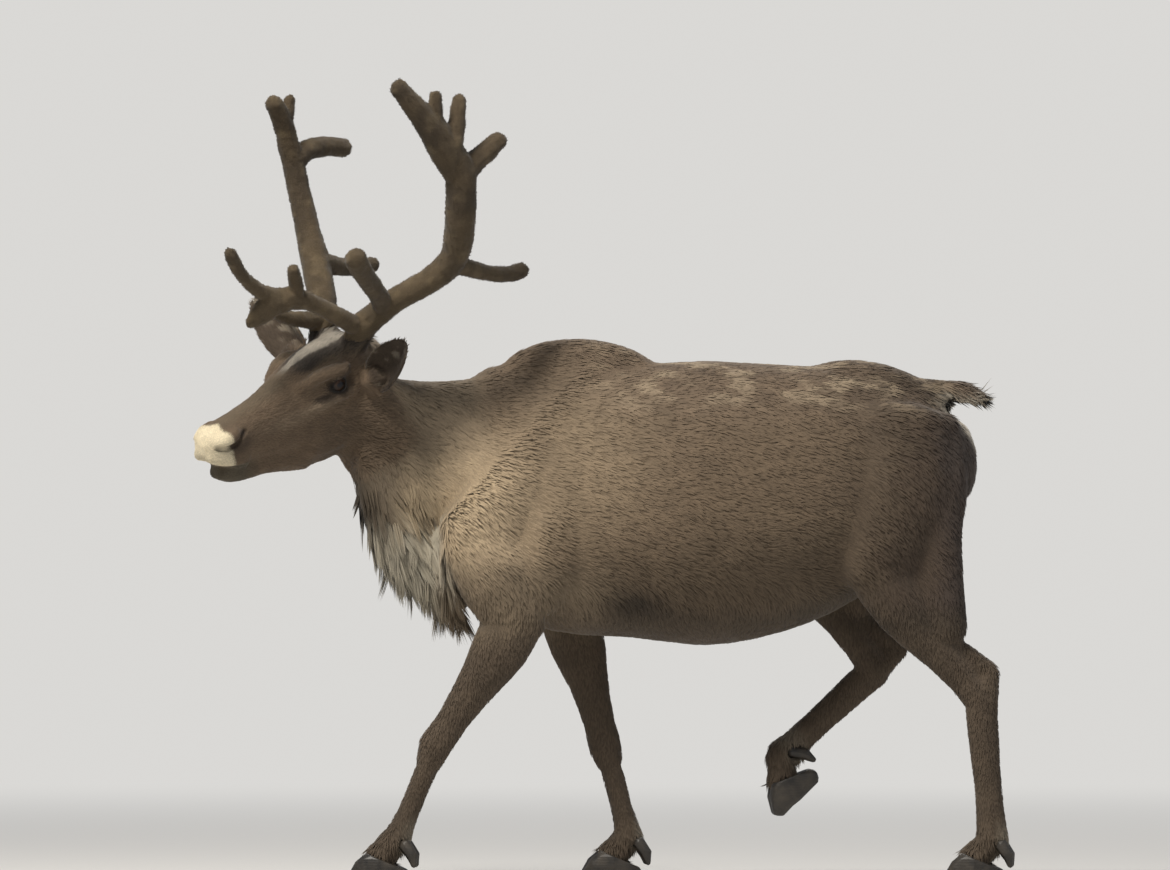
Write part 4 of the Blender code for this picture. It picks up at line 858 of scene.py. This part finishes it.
coatPieces = {
    "coat_shoulder": {"tufts": 16500, "seed": 21},
    "coat_flank": {"tufts": 16500, "seed": 22},
    "coat_rump": {"tufts": 16500, "seed": 23},
    "coat_neck": {"tufts": 15000, "seed": 24},
    "coat_face": {"tufts": 15500, "seed": 25},
    "coat_crown": {"tufts": 11500, "seed": 26},
    "coat_forelegs": {"tufts": 10500, "seed": 27},
    "coat_hindlegs": {"tufts": 11500, "seed": 28},
    "coat_ears": {"tufts": 7000, "seed": 29},
    "coat_tail": {"tufts": 1800, "seed": 30},
}


def coatMember(places):
    # the coat piece that each point belongs to
    q, local, near = regions(places)
    x, z = q[:, 0], q[:, 2]
    name = np.full(len(q), "coat_flank", dtype=object)
    name[x < 0.02] = "coat_shoulder"
    name[x > 0.30] = "coat_rump"
    name[(z < 0.47) & (x < 0.12)] = "coat_forelegs"
    name[(z < 0.47) & (x >= 0.12)] = "coat_hindlegs"
    name[x < -0.30] = "coat_neck"
    name[(x < -0.30) & (z < 0.50)] = "coat_forelegs"
    name[near["head"] > 0.5] = "coat_crown"
    name[(near["head"] > 0.5) & (local[:, 0] < 0.20)] = "coat_face"
    for sign in (1, -1):
        name[near["ear", sign] > 0.5] = "coat_ears"
    name[near["tail"] > 0.5] = "coat_tail"
    return name


def clearOfEyes(roots):
    keep = np.ones(len(roots), dtype=bool)
    for sign in (1, -1):
        b, l, u = eyeShape["place"]
        middle = np.array(headPoint(b, l * sign, u))
        keep &= np.linalg.norm(roots - middle, axis=1) > eyeShape["radius"] * 1.16
    return keep


def makeCoat():
    member = coatMember(skinMiddles)
    coarseMember = coatMember(coarsePlaces[coarseFaces].mean(axis=1))
    for name, settings in coatPieces.items():
        draw = np.random.default_rng(settings["seed"])
        density = (member == name).astype(float)
        if name == "coat_face":
            local = (skinMiddles - np.array(head.translation)) @ headAxes
            density *= 1 + 1.6 * smoothStep(0.11, 0.06, local[:, 0])
        roots, ways = scatter(density, settings["tufts"], settings["seed"])
        keep = clearOfEyes(roots)
        roots, ways = roots[keep], ways[keep]
        lies = lieOfCoat(roots, ways)
        lies = unit(lies + np.cross(ways, lies) * (draw.normal(0, 0.16, len(roots)))[:, None])
        shape = coatShape(roots, ways, draw)
        tints = markingsAndPaintedLight(roots, ways) * (0.90 + 0.20 * draw.random(len(roots)))[:, None]
        patches = bakePlaces(roots, coarseMember == name)
        lift = np.radians(shape[:, 2])
        tuftPiece(
            name, roots, ways, lies, shape[:, 0], shape[:, 1], lift, tints, patches, tuftMaterial, "coat",
        )
        print("coat:", name, len(roots))


makeCoat()


# mane: long curved strands, gathered into locks that hang to the outline of the solids
maneStrands = {"strands": 6800, "locks": 520, "length": (0.060, 0.098), "width": 0.0028, "seed": 41}


def makeMane():
    draw = np.random.default_rng(maneStrands["seed"])
    q, local, near = regions(skinMiddles)
    density = smoothStep(0.15, 0.7, near["mane"]) * smoothStep(-0.30, -0.36, q[:, 0])
    density = density * smoothStep(0.785, 0.725, q[:, 2]) * (1 - near["head"])
    roots, ways = scatter(density, maneStrands["strands"], maneStrands["seed"])
    lies = lieOfCoat(roots, ways)
    heads = scatter(density, maneStrands["locks"], maneStrands["seed"] + 1)[0]
    gap = ((roots[:, None, :] - heads[None]) ** 2).sum(axis=2)
    lock = gap.argmin(axis=1)
    low, high = maneStrands["length"]
    lockLength = (low + (high - low) * draw.random(len(heads)))[lock]
    length = lockLength * (0.80 + 0.25 * draw.random(len(roots)))
    q, local, near = regions(roots)
    share = smoothStep(0.10, 0.8, near["mane"])
    length *= (0.55 + 0.45 * share) * (0.42 + 0.58 * smoothStep(0.79, 0.68, q[:, 2]))
    count = len(heads)
    sway = [draw.normal(0, 0.25, count) + 0.28, draw.normal(0, 0.22, count), -np.ones(count)]
    swing = unit(np.stack(sway, axis=1))[lock]
    stations = [roots - ways * 0.002]
    way = unit(lies * 0.95 + ways * 0.28)
    pull = (heads[lock] - roots)
    spot = roots.copy()
    steps = 4
    for k in range(steps):
        way = unit(way * 0.55 + swing * 0.45)
        spot = spot + way * (length / steps)[:, None] + pull * 0.07
        stations.append(spot.copy())
    mesh = strandMesh("mane", stations, ways, maneStrands["width"], draw)
    tints = markingsAndPaintedLight(roots, ways)
    strandShade = (0.84 + 0.32 * draw.random(len(roots)))[:, None]
    lockShade = (0.92 + 0.16 * draw.random(len(heads)))[lock][:, None]
    tints *= strandShade * lockShade
    # painted shade along each strand: darker at the root, lighter towards the tip
    paintedShade = np.concatenate([np.full(3, s) for s in (0.80, 0.90, 0.98, 1.04)] + [[1.08]])
    storeColour(mesh, "coatTint", np.clip(tints[:, None, :] * paintedShade[None, :, None], 0, 1).reshape(-1, 3))
    coarseMember = coatMember(coarsePlaces[coarseFaces].mean(axis=1))
    patches = bakePlaces(roots, coarseMember == "coat_neck")
    along = np.concatenate([np.full(3, s) for s in (-0.5, -0.25, 0.0, 0.25)] + [[0.5]])
    side = np.concatenate([(-0.4, 0.4, 0.0)] * 4 + [(0.0,)])
    patch = np.stack([side, along], axis=1) * patchSize
    storeBakeMap(mesh, (patches[:, None, :] + patch[None]).reshape(-1, 2))
    finishPiece(link("mane", mesh), tuftMaterial, "coat")
    print("mane:", len(roots))


def strandMesh(name, stations, ways, width, draw):
    # stations after the first are rings of three, the last is the tip
    count = len(ways)
    widths = width * (0.7 + 0.6 * draw.random(count))[:, None]
    rows = []
    taper = (0.8, 1.0, 0.9, 0.6)
    for k in range(4):
        along = unit(stations[k + 1] - stations[max(k - 1, 0)])
        across = unit(np.cross(ways, along))
        over = np.cross(along, across)
        rows += [stations[k] - across * widths * taper[k] / 2, stations[k] + across * widths * taper[k] / 2]
        rows.append(stations[k] + over * widths * taper[k] * 0.4)
    rows.append(stations[4])
    points = np.stack(rows, axis=1).reshape(-1, 3)
    faces = [(0, 2, 1)]
    for k in range(3):
        a, b = 3 * k, 3 * k + 3
        faces += [(a, a + 1, b + 1), (a, b + 1, b), (a, b, b + 2), (a, b + 2, a + 2)]
        faces += [(a + 1, a + 2, b + 2), (a + 1, b + 2, b + 1)]
    faces += [(9, 10, 12), (9, 12, 11), (10, 11, 12)]
    faces = (np.array(faces)[None] + 13 * np.arange(count)[:, None, None]).reshape(-1, 3)
    mesh = meshFromArrays(name, points, faces)
    across = unit(np.cross(ways, stations[4] - stations[0]))
    leaning = [ways + across * side for side in (-0.5, 0.5, 0) * 4 + (0,)]
    mesh.normals_split_custom_set_from_vertices(unit(np.stack(leaning, axis=1).reshape(-1, 3)))
    return mesh


makeMane()


# antlers: the CAD forms made smooth, under short velvet
antlerShape = {
    "voxel": 0.0024, "rounds": 9, "triangles": 42000, "unwrapTriangles": 3000,
    "hairs": 10500, "hair": 0.0034, "hairWidth": 0.0017, "hairSink": 0.0004, "seeds": (61, 66),
}
antlerNodes = {
    "antler_left": [f"antler_left_{part}" for part in ("beam", "palm", "brow", "bez", "rear")],
    "antler_right": [f"antler_right_{part}" for part in ("beam", "top", "brow", "rear")],
}
velvetTints = {"base": sRgb(72, 61, 46), "dark": sRgb(50, 42, 33), "pale": sRgb(100, 87, 66)}
velvetMaterial = furMaterial("velvet", "coatTint", 0.9, 0.30, 0.6, 420.0)
velvetHair = furMaterial("velvet_hair", "coatTint", 0.8, 0.15, 0.0, 700.0)


def velvetTint(places):
    q = places - shiftRow
    tint = np.repeat(velvetTints["base"][None], len(q), axis=0)
    tint = mixed(tint, velvetTints["dark"], smoothStep(0.45, 0.75, latticeNoise(q, 0.05, 51)) * 0.6)
    tint = mixed(tint, velvetTints["pale"], smoothStep(0.55, 0.85, latticeNoise(q, 0.022, 52)) * 0.45)
    tint = mixed(tint, velvetTints["pale"], smoothStep(1.36, 1.02, q[:, 2]) * 0.30)
    return tint * (0.92 + 0.16 * latticeNoise(q, 0.008, 53))[:, None]


def makeAntler(name, nodeNames, seed):
    antler = remeshed(nodeCopy(name, nodeNames), antlerShape["voxel"])
    antler = smoothed(largestPart(antler), antlerShape["rounds"])
    places = vertexPlaces(antler.data)
    normals = vertexNormals(antler.data)
    bump = (latticeNoise(places, 0.016, seed) - 0.5) * 0.0022
    bump += (latticeNoise(places, 0.006, seed + 1) - 0.5) * 0.0010
    places += normals * (bump + 0.0008)[:, None]
    antler.data.vertices.foreach_set("co", places.astype(np.float32).ravel())
    antler = thinned(antler, antlerShape["triangles"])
    smoothFaces(antler)
    places, normals = vertexPlaces(antler.data), vertexNormals(antler.data)
    faces = faceCorners(antler.data)
    storeColour(antler.data, "coatTint", velvetTint(places))
    sheet = thinned(link("sheet", antler.data.copy()), antlerShape["unwrapTriangles"])
    sheetPlaces, sheetFaces = vertexPlaces(sheet.data), faceCorners(sheet.data)
    bpy.data.objects.remove(sheet, do_unlink=True)
    finishPiece(antler, velvetMaterial, "velvet", *nodeNames)
    draw = np.random.default_rng(seed)
    roots, ways = scatter(np.ones(len(faces)), antlerShape["hairs"], seed, places, normals, faces)
    lean = np.stack([draw.normal(0, 1, len(roots)) for k in range(3)], axis=1)
    lean = unit(lean + np.array([0.3, 0, 0.9]))
    lies = unit(lean - ways * (lean * ways).sum(axis=1)[:, None])
    size = 0.7 + 0.6 * draw.random(len(roots))
    tints = velvetTint(roots) * (1.02 + 0.32 * draw.random(len(roots)))[:, None]
    patches = bakePlaces(roots, np.ones(len(sheetFaces), dtype=bool), sheetPlaces, sheetFaces)
    lift = np.radians(28 + 26 * draw.random(len(roots)))
    length = antlerShape["hair"] * size
    width = np.full(len(roots), antlerShape["hairWidth"])
    tuftPiece(
        name + "_velvet", roots, ways, lies, length, width, lift, tints, patches, velvetHair, "velvet",
        antlerShape["hairSink"],
    )
    print("antler:", name, len(places))


for (antlerName, antlerParts), antlerSeed in zip(antlerNodes.items(), antlerShape["seeds"]):
    makeAntler(antlerName, antlerParts, antlerSeed)


# hooves and dewclaws: dark horn with rings of growth
hoofShape = {"voxel": 0.0013, "rounds": 6, "hoof": 2600, "dewclaw": 900}
hornLook = {"dark": sRgb(22, 20, 18), "pale": sRgb(66, 59, 50), "smooth": 0.38, "rough": 0.62, "relief": 0.14}


def buildHornMaterial():
    material, tree, shader = newMaterial("hoof_horn")
    place = addNode(tree, "ShaderNodeTexCoord")
    ripple = {"Scale": 60.0, "Distortion": 3.5, "Detail": 2.0, "Detail Scale": 1.6}
    rings = addNode(tree, "ShaderNodeTexWave", ripple, bands_direction="Z")
    cloud = addNode(tree, "ShaderNodeTexNoise", {"Scale": 45.0, "Detail": 4.0})
    ramp = addRamp(tree, (0.25, hornLook["dark"]), (0.80, hornLook["pale"]))
    rough = addNode(tree, "ShaderNodeMapRange", {"To Min": hornLook["smooth"], "To Max": hornLook["rough"]})
    relief = addNode(tree, "ShaderNodeBump", {"Strength": hornLook["relief"], "Distance": 0.001})
    for texture in (rings, cloud):
        wire(place, "Object", texture, "Vector")
    wire(cloud, "Fac", ramp, "Fac")
    wire(ramp, "Color", shader, "Base Color")
    wire(cloud, "Fac", rough, "Value")
    wire(rough, "Result", shader, "Roughness")
    wire(rings, "Fac", relief, "Height")
    wire(relief, "Normal", shader, "Normal")
    return material


def makeHooves():
    horn = buildHornMaterial()
    for foot in feet:
        parts = []
        names = [f"{kind}_{foot}_{side}" for kind in ("hoof", "dewclaw") for side in ("outer", "inner")]
        for nodeName in names:
            part = remeshed(nodeCopy(nodeName + "_copy", [nodeName]), hoofShape["voxel"])
            part = smoothed(part, hoofShape["rounds"])
            parts.append(thinned(part, hoofShape[nodeName.split("_")[0]]))
        work = bmesh.new()
        for part in parts:
            work.from_mesh(part.data)
            bpy.data.objects.remove(part, do_unlink=True)
        mesh = bpy.data.meshes.new("horn_" + foot)
        work.to_mesh(mesh)
        work.free()
        piece = link("horn_" + foot, mesh)
        smoothFaces(piece)
        finishPiece(piece, horn, "hoof_horn", *names)
    print("hooves: ready")


makeHooves()


# eyes: dark wet balls with a long level pupil, under rounded lids
eyeLook = {
    "segments": 48, "cornea": 0.0022, "corneaSpan": 0.62, "pupil": (0.004, 0.004, 0.006, 1),
    "roughness": 0.35, "coat": 0.3,
}
irisStops = (
    (0.30, sRgb(30, 21, 16)), (0.50, sRgb(44, 30, 21)), (0.66, sRgb(36, 25, 18)),
    (0.72, sRgb(16, 12, 10)), (0.95, sRgb(26, 19, 15)),
)


def eyeFrame(sign):
    b, l, u = eyeShape["place"]
    middle = headPoint(b, l * sign, u)
    out = (head.to_3x3() @ Vector((-0.16, sign * 0.97, 0.12))).normalized()
    up = (head.to_3x3() @ Vector((0, 0, 1)))
    up = (up - out * up.dot(out)).normalized()
    along = up.cross(out)
    return Matrix.Translation(middle) @ Matrix((along, up, out)).transposed().to_4x4()


def buildEyeMaterial():
    material, tree, shader = newMaterial("eye_gloss")
    gaze = addNode(tree, "ShaderNodeAttribute", attribute_name="gaze")
    parts = addNode(tree, "ShaderNodeSeparateXYZ")
    ring = addRamp(tree, *irisStops)
    wire(gaze, "Vector", parts, "Vector")
    flat = addNode(tree, "ShaderNodeCombineXYZ")
    wire(parts, "X", flat, "X")
    wire(parts, "Y", flat, "Y")
    reach = addNode(tree, "ShaderNodeVectorMath", operation="LENGTH")
    wire(flat, "Vector", reach, 0)
    wire(reach, "Value", ring, "Fac")
    squash = addNode(tree, "ShaderNodeVectorMath", {1: (1.0, 1.9, 0.0)}, operation="MULTIPLY")
    wire(gaze, "Vector", squash, 0)
    pupil = addNode(tree, "ShaderNodeVectorMath", operation="LENGTH")
    wire(squash, "Vector", pupil, 0)
    edge = addNode(tree, "ShaderNodeMapRange", {"From Min": 0.40, "From Max": 0.46})
    wire(pupil, "Value", edge, "Value")
    blend = addNode(tree, "ShaderNodeMix", {6: eyeLook["pupil"]}, data_type="RGBA")
    wire(edge, "Result", blend, "Factor")
    wire(ring, "Color", blend, 7)
    wire(blend, 2, shader, "Base Color")
    setInputs(shader, {"Roughness": eyeLook["roughness"], "Specular IOR Level": 0.1})
    setInputs(shader, {"Coat Weight": eyeLook["coat"], "Coat Roughness": 0.02})
    return material


def makeEyes():
    material = buildEyeMaterial()
    count = eyeLook["segments"]
    for side, sign in (("left", 1), ("right", -1)):
        place = eyeFrame(sign)
        work = bmesh.new()
        bmesh.ops.create_uvsphere(work, u_segments=count, v_segments=count // 2, radius=1)
        gaze = []
        for vert in work.verts:
            way = vert.co.normalized()
            gaze.append(tuple(way))
            off = math.hypot(way.x, way.y) / eyeLook["corneaSpan"]
            bulge = eyeLook["cornea"] * max(0.0, 1 - off ** 2) if way.z > 0 else 0.0
            vert.co = place @ (way * (eyeShape["radius"] + bulge))
        bmesh.ops.recalc_face_normals(work, faces=work.faces)
        mesh = bpy.data.meshes.new("eyeball_" + side)
        work.to_mesh(mesh)
        work.free()
        storeVector(mesh, "gaze", np.array(gaze))
        ball = link("eyeball_" + side, mesh)
        smoothFaces(ball)
        finishPiece(ball, material, "eye_gloss", "eye_" + side)
    print("eyes: ready")


makeEyes()


# ear tag: a small clip of worn metal
tagLook = {"bright": sRgb(176, 172, 163), "dull": sRgb(112, 105, 94), "smooth": 0.30, "rough": 0.58}


def buildTagMaterial():
    material, tree, shader = newMaterial("worn_metal")
    place = addNode(tree, "ShaderNodeTexCoord")
    grime = addNode(tree, "ShaderNodeTexNoise", {"Scale": 190.0, "Detail": 5.0})
    scratches = addNode(tree, "ShaderNodeTexWave", {"Scale": 700.0, "Distortion": 9.0, "Detail": 3.0})
    for texture in (grime, scratches):
        wire(place, "Object", texture, "Vector")
    ramp = addRamp(tree, (0.35, tagLook["dull"]), (0.60, tagLook["bright"]))
    wear = addNode(tree, "ShaderNodeMapRange", {"To Min": tagLook["rough"], "To Max": tagLook["smooth"]})
    relief = addNode(tree, "ShaderNodeBump", {"Strength": 0.15, "Distance": 0.0004})
    wire(grime, "Fac", ramp, "Fac")
    wire(grime, "Fac", wear, "Value")
    wire(scratches, "Fac", relief, "Height")
    wire(ramp, "Color", shader, "Base Color")
    wire(wear, "Result", shader, "Roughness")
    wire(relief, "Normal", shader, "Normal")
    shader.inputs["Metallic"].default_value = 1.0
    return material


nodes["ear_tag"].data.materials.clear()
nodes["ear_tag"].data.materials.append(buildTagMaterial())
print("ear tag: ready")


# stage, light and camera
backdropColour = (0.70, 0.69, 0.67)
floorLook = {"radius": 150, "colour": (0.62, 0.61, 0.59, 1), "roughness": 0.9, "fadeFrom": 1.2, "fadeTo": 9.0}
skyLook = {"Color": (0.66, 0.69, 0.74, 1), "Strength": 0.42}
lamps = {
    "key": {
        "azimuth": -34, "elevation": 52, "distance": 6.0, "size": 1.8, "watts": 450, "colour": (1.0, 0.95, 0.87),
    },
    "fill": {
        "azimuth": 60, "elevation": 25, "distance": 7.0, "size": 4.0, "watts": 45, "colour": (0.92, 0.95, 1.0),
    },
    "rim": {
        "azimuth": 165, "elevation": 40, "distance": 7.0, "size": 3.0, "watts": 110, "colour": (1.0, 0.97, 0.93),
    },
}
cameraPlace = {"distance": 30.0, "sensor": 36, "clip": 500}


def makeFloor():
    work = bmesh.new()
    bmesh.ops.create_circle(work, cap_ends=True, segments=96, radius=floorLook["radius"])
    mesh = bpy.data.meshes.new("floor")
    work.to_mesh(mesh)
    work.free()
    floor = link("floor", mesh)
    material, tree, shader = newMaterial("pale_floor")
    setInputs(shader, {"Base Color": floorLook["colour"], "Roughness": floorLook["roughness"]})
    place = addNode(tree, "ShaderNodeTexCoord")
    length = addNode(tree, "ShaderNodeVectorMath", operation="LENGTH")
    reach = {"From Min": floorLook["fadeFrom"], "From Max": floorLook["fadeTo"]}
    fade = addNode(tree, "ShaderNodeMapRange", reach, interpolation_type="SMOOTHSTEP")
    far = addNode(tree, "ShaderNodeEmission", {"Color": (*backdropColour, 1)})
    blend = addNode(tree, "ShaderNodeMixShader")
    wire(place, "Object", length, 0)
    wire(length, "Value", fade, "Value")
    wire(fade, "Result", blend, "Fac")
    wire(shader, "BSDF", blend, 1)
    wire(far, "Emission", blend, 2)
    wire(blend, "Shader", tree.nodes["Material Output"], "Surface")
    mesh.materials.append(material)


def makeWorld():
    # the camera sees a pale backdrop, the animal gets a softer share of it
    world = bpy.data.worlds.new("studio")
    world.use_nodes = True
    tree = world.node_tree
    shown = tree.nodes["Background"]
    shown.inputs["Color"].default_value = (*backdropColour, 1)
    lit = addNode(tree, "ShaderNodeBackground", skyLook)
    ray = addNode(tree, "ShaderNodeLightPath")
    blend = addNode(tree, "ShaderNodeMixShader")
    wire(ray, "Is Camera Ray", blend, "Fac")
    wire(lit, "Background", blend, 1)
    wire(shown, "Background", blend, 2)
    wire(blend, "Shader", tree.nodes["World Output"], "Surface")
    bpy.context.scene.world = world


def makeLight(name, azimuth, elevation, distance, size, watts, colour):
    lamp = bpy.data.lights.new(name, "AREA")
    lamp.shape, lamp.size, lamp.energy, lamp.color = "DISK", size, watts, colour
    made = bpy.data.objects.new(name, lamp)
    a, e = math.radians(azimuth), math.radians(elevation)
    way = Vector((math.sin(a) * math.cos(e), -math.cos(a) * math.cos(e), math.sin(e)))
    made.location = Vector((0, 0, 0.8)) + way * distance
    made.rotation_euler = way.to_track_quat("Z", "Y").to_euler()
    bpy.context.scene.collection.objects.link(made)


def makeCamera():
    lens = bpy.data.cameras.new("camera")
    made = bpy.data.objects.new("camera", lens)
    wide, high = photoFrame["wide"], photoFrame["high"]
    lens.sensor_width = cameraPlace["sensor"]
    lens.lens = cameraPlace["sensor"] * cameraPlace["distance"] / (wide * metresPerPixel)
    lens.clip_end = cameraPlace["clip"]
    column, row = wide / 2 - photoFrame["originColumn"], photoFrame["floorRow"] - high / 2
    middle = Vector((column * metresPerPixel, 0, row * metresPerPixel)) + shift
    made.location = (middle.x, -cameraPlace["distance"], middle.z)
    made.rotation_euler = (math.radians(90), 0, 0)
    bpy.context.scene.collection.objects.link(made)
    bpy.context.scene.camera = made


makeWorld()
makeFloor()
for lampName, lampSettings in lamps.items():
    makeLight(lampName, **lampSettings)
makeCamera()
bpy.context.scene.view_settings.view_transform = "Standard"
print("stage: ready")
